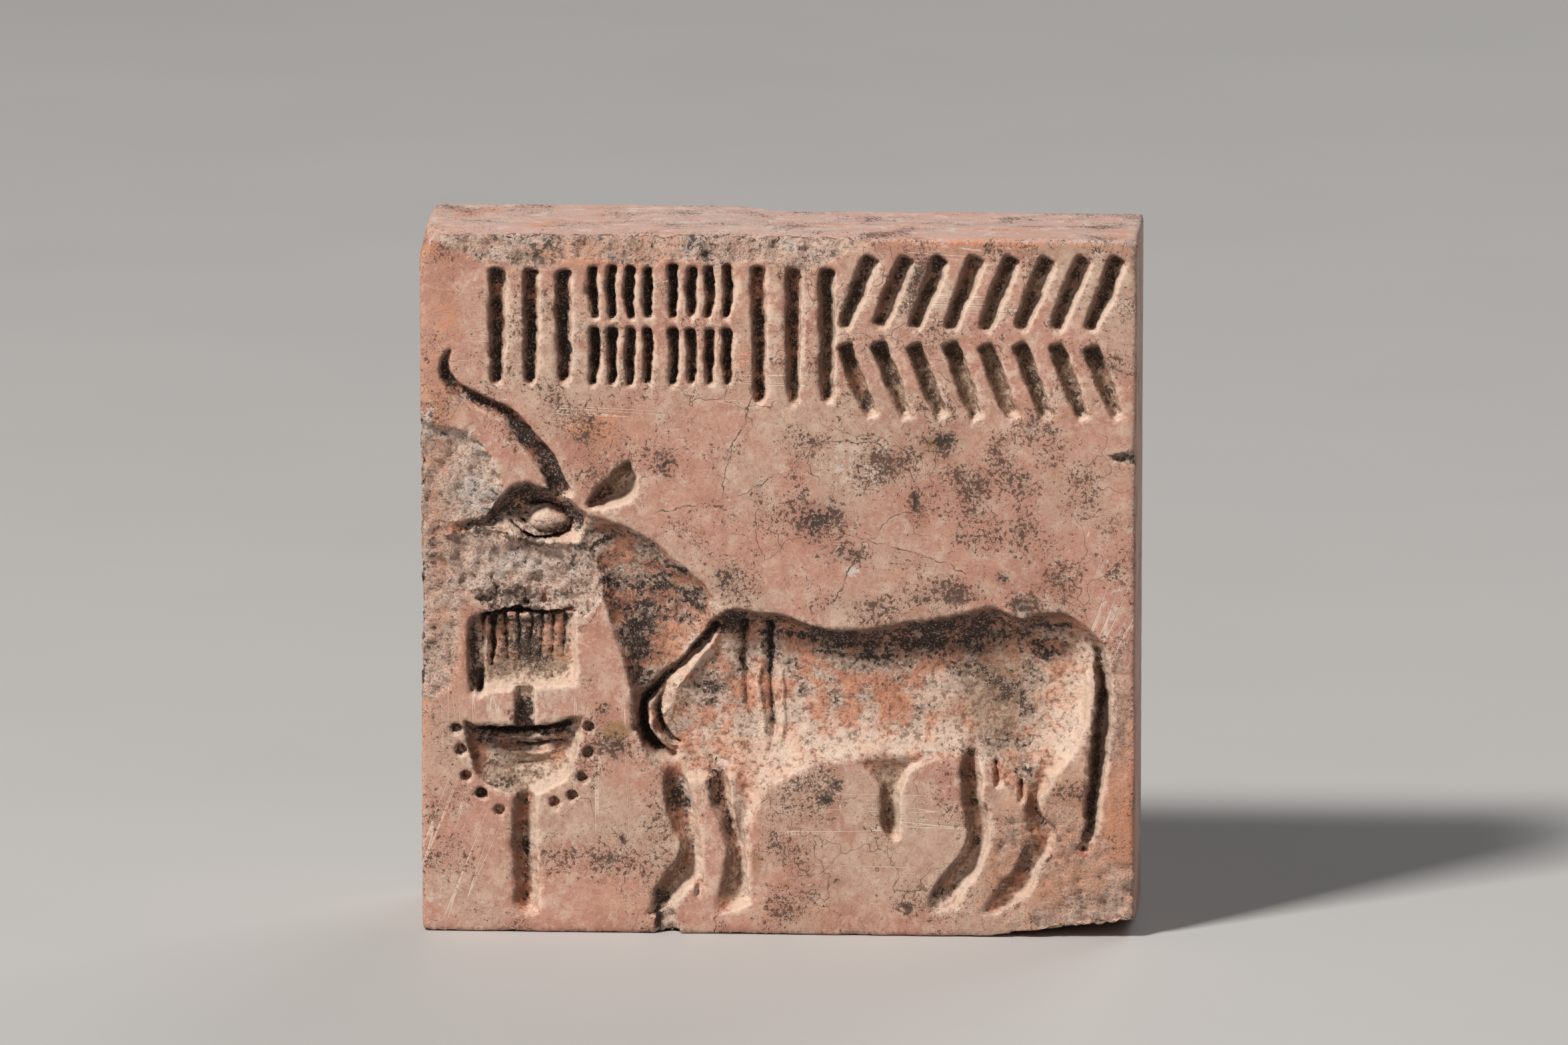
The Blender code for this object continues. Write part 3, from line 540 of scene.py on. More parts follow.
# %% Offering stand
CAGE = [
    (-15.4, 12.1, -15.45, 16.25, 0.34), (-13.0, 12.45, -13.0, 16.5, 0.42),
    (-10.3, 12.65, -10.4, 16.65, 0.42),
]
CAGE_BARS = 8
CAGE_BAR_X = (-14.9, -10.8)
CAGE_BAR_Z = (12.95, 14.6, 16.2)
CAGE_BAR_DEPTH = 0.54
CAGE_BAR_SWAY = 0.3
CAGE_LINES = [
    # the line along its top edge, and two down its left side
    [
        (-14.7, 16.3, 0.12, 0.56), (-13.0, 16.36, 0.15, 0.66), (-11.6, 16.3, 0.14, 0.62),
        (-10.5, 16.55, 0.1, 0.5),
    ],
    [(-14.4, 16.2, 0.12, 0.6), (-14.35, 14.8, 0.14, 0.68), (-14.5, 13.6, 0.1, 0.56)],
    [(-15.05, 13.7, 0.1, 0.4), (-15.0, 13.0, 0.15, 0.54), (-15.0, 12.3, 0.18, 0.6)],
]
JAW_LINES = [
    [(-14.2, 17.8, 0.1, 0.24), (-14.2, 16.7, 0.2, 0.34)],
    [(-12.7, 18.0, 0.1, 0.34), (-12.7, 16.8, 0.17, 0.5)],
    [(-11.7, 18.0, 0.1, 0.34), (-11.75, 16.9, 0.19, 0.52)],
    [(-10.5, 18.0, 0.1, 0.3), (-10.6, 17.0, 0.15, 0.42)],
]
STAND_NECK = [(-12.75, 12.5, 0.5, 0.3), (-12.75, 11.4, 0.52, 0.34), (-12.75, 10.3, 0.5, 0.4)]
BOWL = [
    (-15.75, 10.1, -15.8, 10.9, 0.2), (-15.2, 8.0, -15.2, 10.65, 0.45), (-14.2, 7.25, -14.1, 10.57, 0.56),
    (-12.9, 6.95, -12.9, 10.6, 0.6), (-11.6, 7.3, -11.6, 10.7, 0.56), (-10.6, 8.0, -10.6, 10.95, 0.42),
    (-9.95, 9.7, -9.9, 11.1, 0.15),
]
BOWL_LINES = [
    [(-15.2, 10.35, 0.18, 0.6), (-12.9, 10.2, 0.28, 0.86), (-10.5, 10.6, 0.18, 0.6)],
    [(-14.7, 9.45, 0.14, 0.58), (-12.8, 9.4, 0.22, 0.78), (-10.8, 9.75, 0.14, 0.58)],
    [(-14.2, 8.7, 0.12, 0.56), (-12.6, 8.45, 0.18, 0.68), (-11.0, 8.75, 0.12, 0.56)],
]
POLE = [
    (-13.35, 7.3, -12.25, 7.3, 0.3), (-13.42, 6.3, -12.15, 6.3, 0.5), (-13.42, 4.0, -12.12, 4.0, 0.54),
    (-13.4, 1.9, -12.05, 1.9, 0.5), (-13.3, 1.1, -11.95, 1.1, 0.3),
]
DROPS = [
    (-16.2, 10.4), (-16.0, 9.3), (-15.75, 8.0), (-14.95, 7.1), (-14.1, 6.25), (-11.3, 6.65), (-10.4, 7.0),
    (-9.85, 7.95), (-9.55, 9.25), (-9.5, 10.5),
]
DROP_RADIUS = 0.34 * MM
DROP_FLOOR_RADIUS = 0.26 * MM
DROP_DEPTH = 0.42 * MM
DROP_SEGMENTS = 20
gouge(CAGE, FLAT)
line(STAND_NECK, FLAT)
gouge(BOWL, BROAD, skew=0.3)
gouge(POLE, VEE, skew=0.1)
for path in BOWL_LINES + CAGE_LINES + JAW_LINES:
    line(path)
for i in range(CAGE_BARS):
    x = CAGE_BAR_X[0] + (CAGE_BAR_X[1] - CAGE_BAR_X[0]) * i / (CAGE_BARS - 1)
    sway = noise.noise_vector(Vector((x * 2.3, 0.5, 0.0))) * CAGE_BAR_SWAY
    line([
        (x + sway.x, CAGE_BAR_Z[0] + 3.0 * abs(sway.y), 0.12, CAGE_BAR_DEPTH - 0.1),
        (x + sway.z, CAGE_BAR_Z[1], 0.16, CAGE_BAR_DEPTH),
        (x - sway.x, CAGE_BAR_Z[2], 0.17, CAGE_BAR_DEPTH),
    ])
for x, z in DROPS:
    radii = {"radius1": DROP_FLOOR_RADIUS, "radius2": DROP_RADIUS}
    pit = bmesh.ops.create_cone(cuts, cap_ends=True, segments=DROP_SEGMENTS, depth=2 * DROP_DEPTH, **radii)
    for vert in pit["verts"]:
        vert.co = on_face(x, z) + Vector((vert.co.x, -vert.co.z, vert.co.y))
print(f"cuts so far: {len(cuts.faces)} faces")

# %% [markdown]
# ## Rows of plain strokes
#
# Where the real seal has a line of writing, this one has rows of plain strokes that say nothing. A row is one
# line of numbers, and a loop spaces its strokes. Each is widest and deepest in its middle, as a chisel leaves
# it, and a little noise keeps any two from being alike.

# %% Strokes
STROKE_ROWS = [
    # first x, last x, low z, high z, how many, lean, half width
    (-14.1, -10.7, 28.3, 33.7, 3, 0.0, 0.42),
    (-9.2, -6.5, 31.6, 33.9, 4, 0.0, 0.27),
    (-9.2, -6.5, 28.2, 30.8, 4, 0.0, 0.27),
    (-5.2, -2.5, 31.6, 34.0, 4, 0.0, 0.27),
    (-5.2, -2.5, 28.2, 30.8, 4, 0.0, 0.27),
    (-0.9, 2.5, 27.4, 33.9, 3, 0.0, 0.4),
    (4.0, 16.4, 31.2, 34.5, 8, 1.3, 0.45),
    (4.0, 16.4, 26.7, 30.1, 8, -1.3, 0.45),
]
STROKE_SWAY = 0.12
STROKE = section(2.6, 1.0)

for row, (first_x, last_x, low_z, high_z, count, lean, half) in enumerate(STROKE_ROWS):
    for i in range(count):
        x = first_x + (last_x - first_x) * i / (count - 1)
        sway = noise.noise_vector(Vector((x * 3.7, row * 5.1, 0.5))) * STROKE_SWAY
        path = [
            (x - lean / 2 + sway.x, low_z + sway.y, half * 0.8, 0.8),
            (x - sway.x, (low_z + high_z) / 2, half, 1.0 + sway.z),
            (x + lean / 2 + sway.z, high_z - sway.y, half, 0.9),
        ]
        line(path, STROKE, depth=STROKE_DEPTH)
print(f"{len(cuts.faces)} faces of cuts")

# %% [markdown]
# ## Ridges on the floor of the cuts
#
# Where two gouges meet, a thin ridge of stone is left standing: the stripes over the shoulder, the fold of
# the collar, the edge of the rump and the line down the hind leg. First a ray finds how deep the floor is: it
# starts inside the stone and flies out through the face, and the first cut that it meets is the deepest one.
# A ridge is then a bent grid whose middle stands a little above that floor, in the second mesh.

# %% Ridges
INSIDE = Vector((0.0, 4.0 * MM, 0.0))
OUTWARD = Vector((0.0, -1.0, 0.0))
RIDGE_FLANK = 0.3 * MM
RIDGE_STEPS = 5
RIDGE_COLUMNS = 8
RIDGES = [
    # height and half width in millimetres, and the path
    (0.3, 0.2, [
        (-0.75, 15.2), (-1.0, 14.4), (-0.95, 13.6), (-1.08, 12.7), (-0.9, 11.6), (-0.75, 10.4), (-0.6, 9.2),
    ]),
    (0.24, 0.18, [
        (0.1, 15.2), (0.06, 14.2), (0.1, 13.0), (0.2, 12.2), (0.22, 11.0), (0.12, 10.0), (-0.1, 9.2),
    ]),
    (0.3, 0.16, [(-3.05, 15.1), (-3.6, 14.4), (-4.2, 13.6), (-4.85, 12.85), (-5.3, 12.2)]),
    (0.22, 0.16, [(-3.1, 16.1), (-4.0, 15.1), (-4.9, 14.0), (-5.6, 13.3)]),
    (0.3, 0.16, [(-6.35, 12.4), (-6.45, 11.3), (-6.3, 10.4), (-5.8, 9.75), (-5.0, 9.45)]),
    (0.22, 0.3, [
        (13.7, 15.7), (14.8, 15.1), (15.6, 13.7), (15.75, 12.0), (15.5, 10.3), (14.7, 8.9), (13.7, 7.9),
    ]),
    (0.26, 0.2, [(10.3, 8.7), (10.55, 7.6), (10.75, 6.6), (10.85, 5.8), (10.7, 5.0)]),
    (0.2, 0.2, [(11.5, 9.2), (11.9, 8.3), (12.3, 7.5)]),
    (0.36, 0.12, [(-14.9, 9.8), (-13.9, 9.8), (-12.5, 9.82), (-11.5, 9.98), (-10.5, 10.22)]),
    (0.34, 0.13, [(-14.4, 9.3), (-13.4, 9.05), (-12.3, 9.0), (-11.5, 9.12), (-10.8, 9.38)]),
    (0.18, 0.12, [(-14.3, 8.5), (-13.4, 8.2), (-12.4, 8.12), (-11.5, 8.2), (-10.9, 8.45)]),
    (0.2, 0.16, [(-14.72, 16.0), (-14.7, 14.8), (-14.78, 13.8), (-14.72, 12.9)]),
    (0.16, 0.25, [(-13.3, 22.5), (-12.4, 22.75), (-11.4, 22.6), (-10.6, 22.2)]),
]


def floor_depth(x, z):
    """How deep the deepest cut is at a place on the face, and nothing where there is none."""
    hit = cuts_tree.ray_cast(on_face(x, z) + INSIDE, OUTWARD, INSIDE.y + LIP)[0]
    return hit.y - FRONT if hit else 0.0


def ridge(height, half, path):
    """Bend a grid over a path: its middle stands above the floor of the cuts, and its edges are sunk."""
    rows = smooth_rows(path, RIDGE_STEPS)
    grid = bmesh.ops.create_grid(standing, x_segments=RIDGE_COLUMNS, y_segments=len(rows) - 1, size=0.5)
    for vert in grid["verts"]:
        row = round((vert.co.y + 0.5) * (len(rows) - 1))
        across = 2 * vert.co.x
        (x0, z0), (x1, z1) = rows[max(row - 1, 0)], rows[min(row + 1, len(rows) - 1)]
        side = Vector((z0 - z1, x1 - x0)).normalized() * half * across
        fade = math.sin(math.pi * (row + 0.5) / len(rows)) ** 0.4
        x, z = rows[row]
        crest = floor_depth(x, z) - height * MM * fade
        vert.co = on_face(x + side.x, z + side.y, crest + (height * MM + RIDGE_FLANK) * abs(across) ** 1.7)


cuts_tree = BVHTree.FromBMesh(cuts)
for height, half, path in RIDGES:
    ridge(height, half, path)
standing_tree = BVHTree.FromBMesh(standing)
print(f"left standing: {len(standing.faces)} faces")

# %% [markdown]
# ## How deep is the stone cut here?
#
# The depth at a place is the floor of the cuts there, unless the eye or a ridge stands on it: their outermost
# skin counts, so a second ray comes from outside. Broken places are dents with a wandering edge, worked out
# by a formula.

# %% Depth of the carving
BREAKS = [
    # x, z, half width, half height, depth in millimetres, how much its edge wanders
    (-17.4, 23.3, 3.1, 2.8, 0.5, 0.12),
    (-15.8, 22.6, 2.0, 1.8, 0.5, 0.12),
    (-17.9, 17.0, 2.0, 5.2, 0.34, 0.15),
    (-14.6, 18.8, 2.0, 1.5, 0.55, 0.2),
    (-15.1, 19.9, 1.9, 0.8, 0.6, 0.2),
    (-11.9, 19.35, 2.0, 0.65, 0.8, 0.2),
    (-12.6, 18.5, 2.4, 1.7, 0.85, 0.22),
    (-10.6, 18.3, 2.1, 1.9, 0.8, 0.22),
    (-12.4, 17.1, 2.6, 0.8, 0.7, 0.25),
    (-5.6, 0.2, 0.6, 1.5, 0.5, 0.1),
    (17.9, 24.6, 1.2, 0.25, 0.3, 0.1),
    (16.4, 1.5, 3.6, 2.2, 0.12, 0.3),
    (14.6, 4.6, 2.2, 2.4, 0.1, 0.3),
    (11.9, 3.4, 0.9, 3.0, 0.1, 0.3),
    (17.3, 11.0, 0.5, 5.0, 0.07, 0.3),
]
HAND_SWAY = 0.09
HAND_LENGTH = 0.9
BREAK_REACH = 1.3
BREAK_EDGE_SIZE = 1.6
BREAK_BUMP_SIZE = 0.9
BREAK_BUMPS = 0.25
GRAIN_LAYERS = (0.8, 2.2, 4)  # how fast the layers fade, how much finer each is, and how many there are
TOP_BREAK_X = (-17.6, 4.9)
TOP_BREAK_ZONE = 2.6
TOP_BREAK_HEIGHT = 1.35
TOP_BREAK_DEPTH = 0.62
BREAK_GRAIN = 0.24


def carved(x, z):
    """Depth in millimetres of the carver's cuts at a place on the face."""
    sway = noise.noise_vector(Vector((x / HAND_LENGTH, 0.5, z / HAND_LENGTH))) * HAND_SWAY
    x, z = x + sway.x, z + sway.z
    depth = max(0.0, floor_depth(x, z))
    raised = standing_tree.ray_cast(on_face(x, z) - INSIDE, -OUTWARD, 2 * INSIDE.y)[0] if depth else None
    return min(depth, max(0.0, raised.y - FRONT) if raised else depth) / MM


def grain(x, z, size, slice_at):
    """Noise from about -1 to 1, with bumps of this many millimetres, in one slice of a solid noise."""
    return noise.fractal(Vector((x / size, slice_at, z / size)), *GRAIN_LAYERS)


def broken(x, z):
    """Depth in millimetres of the broken places."""
    deepest = 0.0
    for at_x, at_z, half_x, half_z, depth, wander in BREAKS:
        away = math.hypot((x - at_x) / half_x, (z - at_z) / half_z)
        if away < BREAK_REACH:
            away += wander * grain(x, z, BREAK_EDGE_SIZE, at_x)
            dent = math.sqrt(max(0.0, 1.0 - away**3))
            bumps = 1.0 + BREAK_BUMPS * grain(x, z, BREAK_BUMP_SIZE, at_z)
            deepest = max(deepest, depth * dent * bumps)
    if z > SHEET_HEIGHT - TOP_BREAK_ZONE and TOP_BREAK_X[0] < x < TOP_BREAK_X[1]:
        swell = min(1.0, (x - TOP_BREAK_X[0]) * 0.5, (TOP_BREAK_X[1] - x) * 0.4)
        height = TOP_BREAK_HEIGHT * swell * (1.0 + 0.45 * grain(x, 0.0, 2.1, 3.3))
        along = (z - SHEET_HEIGHT) / max(height, 0.05) + 1.0
        if along > 0.0:
            bumps = 1.0 + 0.5 * grain(x, z, 0.8, 7.7)
            deepest = max(deepest, TOP_BREAK_DEPTH * swell * along**0.7 * bumps)
    return deepest


print(f"belly cut {carved(6.0, 12.0):.2f} mm deep, jaw broken {broken(-12.0, 18.3):.2f} mm deep")

# %% [markdown]
# ## A block cut into cells
#
# The stone starts as a cube from `bmesh.ops.create_cube`, scaled to the block. `subdivide_edges` then cuts
# the edges of one direction at a time, so that every face becomes an even grid.

# %% Block
CELL = 0.6 * MM
STRAIGHT = 0.99

stone = bmesh.new()
bmesh.ops.create_cube(stone, size=1.0)
bmesh.ops.scale(stone, vec=(FACE_WIDTH, PLATE_THICKNESS, FACE_HEIGHT), verts=stone.verts[:])
bmesh.ops.translate(stone, vec=(0.0, (FRONT + BACK) / 2, FACE_HEIGHT / 2), verts=stone.verts[:])


def runs_along(edge, axis):
    """True if an edge points along one axis."""
    return abs((edge.verts[1].co - edge.verts[0].co).normalized()[axis]) > STRAIGHT


for axis, length in enumerate((FACE_WIDTH, PLATE_THICKNESS, FACE_HEIGHT)):
    edges = [edge for edge in stone.edges if runs_along(edge, axis)]
    bmesh.ops.subdivide_edges(stone, edges=edges, cuts=round(length / CELL) - 1, use_grid_fill=True)
print(f"block of {len(stone.faces)} cells")

# %% [markdown]
# ## The boss on the back
#
# The back has a low dome with a groove over it and a hole through it for a cord. The back's cells are split
# near the dome and then pulled out to its height. The hole goes right through, and a height can't do that, so
# it comes in a step of its own while the mesh is still light.

# %% Boss
BOSS_RADIUS = 8.5 * MM
FACET_LOSS = 0.068 * MM  # how far the plain solid's facets stay under the top of its dome
BOSS_HEIGHT = high.y - BACK + FACET_LOSS
DOME_CURVE = 2.2
GROOVE_CURVE = 2.5
GROOVE_WIDTH = 2.2 * MM
GROOVE_DEPTH = 1.3 * MM
HOLE_RADIUS = 1.3 * MM
HOLE_HEIGHT = (BOSS_HEIGHT - GROOVE_DEPTH) / 2
SPLIT_ABOVE = (0.02 * MM, 0.2 * MM)
BOSS_MIDDLE = Vector((0.0, BACK, FACE_HEIGHT / 2))
TINY = 1e-6


def refine(faces):
    """Split faces into four."""
    edges = list(dict.fromkeys(edge for face in faces for edge in face.edges))
    bmesh.ops.subdivide_edges(stone, edges=edges, cuts=1, use_grid_fill=True)


def boss_height(x, z):
    """How far the boss stands out of the back here: a dome with a soft foot, less the groove."""
    away = math.hypot(x, z) / BOSS_RADIUS
    dome = BOSS_HEIGHT * math.sqrt(max(0.0, 1.0 - away**DOME_CURVE))
    groove = max(0.0, 1.0 - (abs(x) / (GROOVE_WIDTH / 2)) ** GROOVE_CURVE)
    return max(0.0, dome - GROOVE_DEPTH * groove) if dome > GROOVE_DEPTH else dome * (1.0 - groove * 0.9)


def boss_spread(face):
    """The difference in the boss's height over a face of the back."""
    heights = [boss_height(v.co.x, v.co.z - BOSS_MIDDLE.z) for v in face.verts]
    return max(heights) - min(heights)


for needed in SPLIT_ABOVE:
    on_back = [f for f in stone.faces if f.normal.y > STRAIGHT]
    refine([f for f in on_back if boss_spread(f) > needed])
for vert in stone.verts:
    if vert.co.y > BACK - TINY:
        vert.co.y += boss_height(vert.co.x, vert.co.z - BOSS_MIDDLE.z)
print(f"{len(stone.faces)} cells with the boss")

# %% [markdown]
# ## Drilling the cord hole
#
# A Boolean modifier needs objects, so the block and a cylinder become two. The evaluated object holds the
# drilled mesh, which goes back into a bmesh.

# %% Cord hole
def to_object(name, bm):
    """A new object in the scene, with the mesh that a bmesh holds."""
    mesh = bpy.data.meshes.new(name)
    bm.to_mesh(mesh)
    bm.free()
    made = bpy.data.objects.new(name, mesh)
    bpy.context.scene.collection.objects.link(made)
    return made


DRILL_SEGMENTS = 40
drill = bmesh.new()
radii = {"radius1": HOLE_RADIUS, "radius2": HOLE_RADIUS}
bmesh.ops.create_cone(drill, cap_ends=True, segments=DRILL_SEGMENTS, depth=2.2 * BOSS_RADIUS, **radii)
for vert in drill.verts:
    vert.co = BOSS_MIDDLE + Vector((vert.co.z, HOLE_HEIGHT + vert.co.x, vert.co.y))
drill_object = to_object("drill", drill)
seal = to_object("carved_seal", stone)
cut = seal.modifiers.new("cord_hole", "BOOLEAN")
cut.object = drill_object
cut.solver = "EXACT"
drilled = seal.evaluated_get(bpy.context.evaluated_depsgraph_get())
stone = bmesh.new()
stone.from_mesh(drilled.to_mesh())
drilled.to_mesh_clear()
seal.modifiers.remove(cut)
bpy.data.objects.remove(drill_object)
print(f"{len(stone.faces)} cells with the cord hole")

# %% [markdown]
# ## Smaller cells where the carving is
#
# The flat ground can keep large cells, because its scratches are only a fraction of a hair deep. Cells on the
# carving are halved, and the steepest of its walls are halved once more, up to a number that keeps the whole
# mesh under two hundred thousand triangles. The cells along the arrises are halved too, to round them.

# %% Refine the face
NEAR_ARRIS = 1.0 * MM
STEEP_SPREAD = 0.1
STEEP_CELLS = 10500


def arris_distance(place):
    """How far a point on the block is from its nearest arris: the distance to the second nearest side."""
    sides = sorted((
        FACE_WIDTH / 2 - abs(place.x),
        min(place.y - FRONT, abs(BACK - place.y)),
        min(place.z, FACE_HEIGHT - place.z),
    ))
    return sides[1]


def depth_spread(face):
    """The least and the greatest depth, in millimetres, over a face of the front."""
    places = [v.co for v in face.verts] + [face.calc_center_median()]
    depths = []
    for place in places:
        x, z = place.x / UNIT_X, place.z / UNIT_Z
        depths.append(max(carved(x, z), broken(x, z)))
    return min(depths), max(depths)


def on_front(face):
    return face.normal.y < -STRAIGHT


def on_plate(face):
    """True away from the boss, whose faces keep the size they have."""
    middle = face.calc_center_median()
    return middle.y < BACK + TINY and (middle - BOSS_MIDDLE).length > BOSS_RADIUS * 1.05


refine([f for f in stone.faces if on_front(f)])
on_sides = [f for f in stone.faces if on_plate(f) and not on_front(f)]
refine([f for f in on_sides if arris_distance(f.calc_center_median()) < NEAR_ARRIS])
chosen = []
for face in stone.faces:
    middle = face.calc_center_median()
    near = middle.y < FRONT + NEAR_ARRIS and arris_distance(middle) < NEAR_ARRIS / 3
    if near or (on_front(face) and depth_spread(face)[1] > 0.0):
        chosen.append(face)
refine(chosen)
print(f"{len(stone.faces)} cells with the carving's")

steep = []
for face in stone.faces:
    if on_front(face) and face.calc_area() < (CELL / 3) ** 2:
        least, most = depth_spread(face)
        if most - least > STEEP_SPREAD:
            steep.append((most - least, face))
steep.sort(key=lambda pair: -pair[0])
print(f"{len(steep)} steep cells, of which the steepest {STEEP_CELLS} are split")
refine([face for spread, face in steep[:STEEP_CELLS]])
print(f"{len(stone.faces)} cells with the walls'")

# %% [markdown]
# ## Pressing the carving in
#
# Each vertex of the face moves into the stone by the depth found at its place. Just behind the arris the
# sides are squeezed back by the same amount, so that a break that reaches the edge shows from the side too.

# %% Press
SQUEEZE = 2.0 * MM
stone.verts.ensure_lookup_table()
vert_count = len(stone.verts)
carved_depth = np.zeros(vert_count)
broken_depth = np.zeros(vert_count)
is_front = np.zeros(vert_count, bool)
start_place = [vert.co.copy() for vert in stone.verts]
for i, place in enumerate(start_place):
    behind = (place.y - FRONT) / SQUEEZE
    if behind < 1.0:
        x, z = place.x / UNIT_X, place.z / UNIT_Z
        is_front[i] = behind < TINY
        carved_depth[i] = carved(x, z) if is_front[i] else 0.0
        broken_depth[i] = broken(x, z)
        stone.verts[i].co.y += max(carved_depth[i], broken_depth[i]) * MM * (1.0 - behind) ** 2
print(f"{is_front.sum()} vertices on the face, deepest {carved_depth.max():.2f} mm")

# %% [markdown]
# ## Worn arrises and corners
#
# Nothing that was handled for years keeps a sharp edge. Each vertex outside a slightly smaller box is pulled
# onto a rounding around that box, and the radius wanders with noise. Three corners and the lower edge have
# lost more stone: leaning planes cut them. Right of the middle, the back of the top lies a little lower.

# %% Wear
ARRIS_ROUND = 0.22
ARRIS_WANDER = 0.16
SHORT_WAVE = 1.1 * MM
LONG_WAVE = 4.0 * MM
LEAST_ROUND = 0.06
CUT_REACH = 20.0 * MM
CUT_BUMP_SIZE = 0.8 * MM
FINE_LAYERS = (0.7, 2.1, 4)
CORNER_CUTS = [
    # a point of the plane in millimetres, the direction that it looks in, and how far its surface wanders
    ((-17.0, -8.0, 35.6), (-0.75, -0.12, 0.66), 0.12),
    ((9.8, -8.0, 0.0), (0.118, -0.12, -0.98), 0.05),
    ((18.0, -8.0, 35.0), (0.6, -0.3, 0.7), 0.1),
    ((-18.0, -8.0, 0.25), (-0.6, -0.4, -0.7), 0.05),
]
TOP_STEP_X = -1.6
TOP_STEP_Y = -3.2
TOP_STEP_DROP = 0.24
TOP_STEP_RUN = 2.0
TOP_STEP_SLOPE = 1.2
TOP_STEP_SWAY = 0.6
TOP_STEP_WAVE = 5.0 * MM
BOSS_START = BACK + 0.01 * MM


def round_arris(place, radius):
    """Pull a point outside the smaller box onto a rounding of this radius."""
    inner = Vector((
        max(-FACE_WIDTH / 2 + radius, min(FACE_WIDTH / 2 - radius, place.x)),
        max(FRONT + radius, min(BACK - radius, place.y)),
        max(radius, min(FACE_HEIGHT - radius, place.z)),
    ))
    out = place - inner
    return inner + out.normalized() * radius if out.length > radius else place


for i, place in enumerate(start_place):
    if place.y > BOSS_START:
        continue
    vert = stone.verts[i]
    wander = noise.noise(place / SHORT_WAVE) + 0.6 * noise.noise(place / LONG_WAVE)
    radius = max(LEAST_ROUND, ARRIS_ROUND + ARRIS_WANDER * wander) * MM
    if math.hypot(place.x, place.z - BOSS_MIDDLE.z) > BOSS_RADIUS or place.y < BACK - TINY:
        vert.co += round_arris(place, radius) - place
    for at, direction, uneven in CORNER_CUTS:
        normal = Vector(direction).normalized()
        bump = uneven * MM * noise.fractal(place / CUT_BUMP_SIZE, *FINE_LAYERS)
        from_plane = vert.co - Vector(at) * MM
        out = from_plane.dot(normal) - bump
        if out > 0.0 and from_plane.length < CUT_REACH:
            vert.co -= normal * out
    if place.z > FACE_HEIGHT - 0.5 * MM:
        right = min(1.0, max(0.0, (place.x / MM - TOP_STEP_X) / TOP_STEP_RUN + 0.5))
        edge = TOP_STEP_Y + TOP_STEP_SWAY * noise.noise(Vector((place.x / TOP_STEP_WAVE, 2.0, 0.0)))
        behind = min(1.0, max(0.0, (place.y / MM - edge) / TOP_STEP_SLOPE))
        vert.co.z -= TOP_STEP_DROP * MM * right * behind
print("arrises rounded")

# %% [markdown]
# ## Softening and grain
#
# `smooth_vert` takes the stair steps out of the steep walls. After it, every vertex moves along its normal by
# fractal noise: much on broken stone, some on the floors of the cuts, and almost none on the polished ground.

# %% Grain
WALL_SOFTENING = 0.5
GROUND_GRAIN = 0.012
FLOOR_GRAIN = 0.08
STREAK_GRAIN = 0.035
FINE_SIZE = 0.55
WIDE_SIZE = 3.0
STREAK_SIZE = (1.4, 0.4, 0.28)
FULL_CUT = 0.4
FULL_BREAK = 0.12
MOST_RAISED = 0.05

on_walls = [v for i, v in enumerate(stone.verts) if is_front[i] and carved_depth[i] > 0.0]
every_axis = {"use_axis_x": True, "use_axis_y": True, "use_axis_z": True}
bmesh.ops.smooth_vert(stone, verts=on_walls, factor=WALL_SOFTENING, **every_axis)
stone.normal_update()
for i, vert in enumerate(stone.verts):
    place = start_place[i] / MM
    fine = noise.fractal(place / FINE_SIZE, *FINE_LAYERS)
    wide = noise.noise(place / WIDE_SIZE)
    streak = noise.noise(Vector([value / size for value, size in zip(place, STREAK_SIZE)]))
    amount = GROUND_GRAIN * (fine + wide)
    inside = min(1.0, carved_depth[i] / FULL_CUT)
    amount += inside * (FLOOR_GRAIN * fine + STREAK_GRAIN * streak)
    cracked = min(1.0, broken_depth[i] / FULL_BREAK) * (1.0 - 0.4 * inside)
    amount += cracked * BREAK_GRAIN * (fine - 0.3)
    vert.co += vert.normal * min(amount, MOST_RAISED) * MM
    vert.co = [max(least, min(most, value)) for least, value, most in zip(low, vert.co, high)]
print(f"{len(stone.verts)} vertices, {sum(len(f.verts) - 2 for f in stone.faces)} triangles")

# %% [markdown]
# ## What the stone remembers
#
# The material needs to know where dirt gathers, where hands have polished, and where shade and highlights are
# painted. Those masks are worked out once and stored on the vertices as named attributes. A small map of the
# depth over the face is blurred: a place that is deeper than its blurred surroundings is a hollow, and one
# that is higher is a lip.

# %% Depth map
MAP_STEP = 0.12
MAP_X = np.arange(-SHEET_WIDTH / 2, SHEET_WIDTH / 2 + MAP_STEP, MAP_STEP)
MAP_Z = np.arange(0.0, SHEET_HEIGHT + MAP_STEP, MAP_STEP)
depth_map = np.array([[max(carved(x, z), broken(x, z)) for x in MAP_X] for z in MAP_Z])


def blurred(values, radius):
    """The map averaged over a soft round patch of this many millimetres."""
    reach = int(3 * radius / MAP_STEP)
    weights = np.exp(-0.5 * (np.arange(-reach, reach + 1) * MAP_STEP / radius) ** 2)
    weights /= weights.sum()
    for axis in (0, 1):
        padded = np.pad(values, [(reach, reach) if a == axis else (0, 0) for a in (0, 1)], mode="edge")
        values = np.apply_along_axis(np.convolve, axis, padded, weights, mode="valid")
    return values


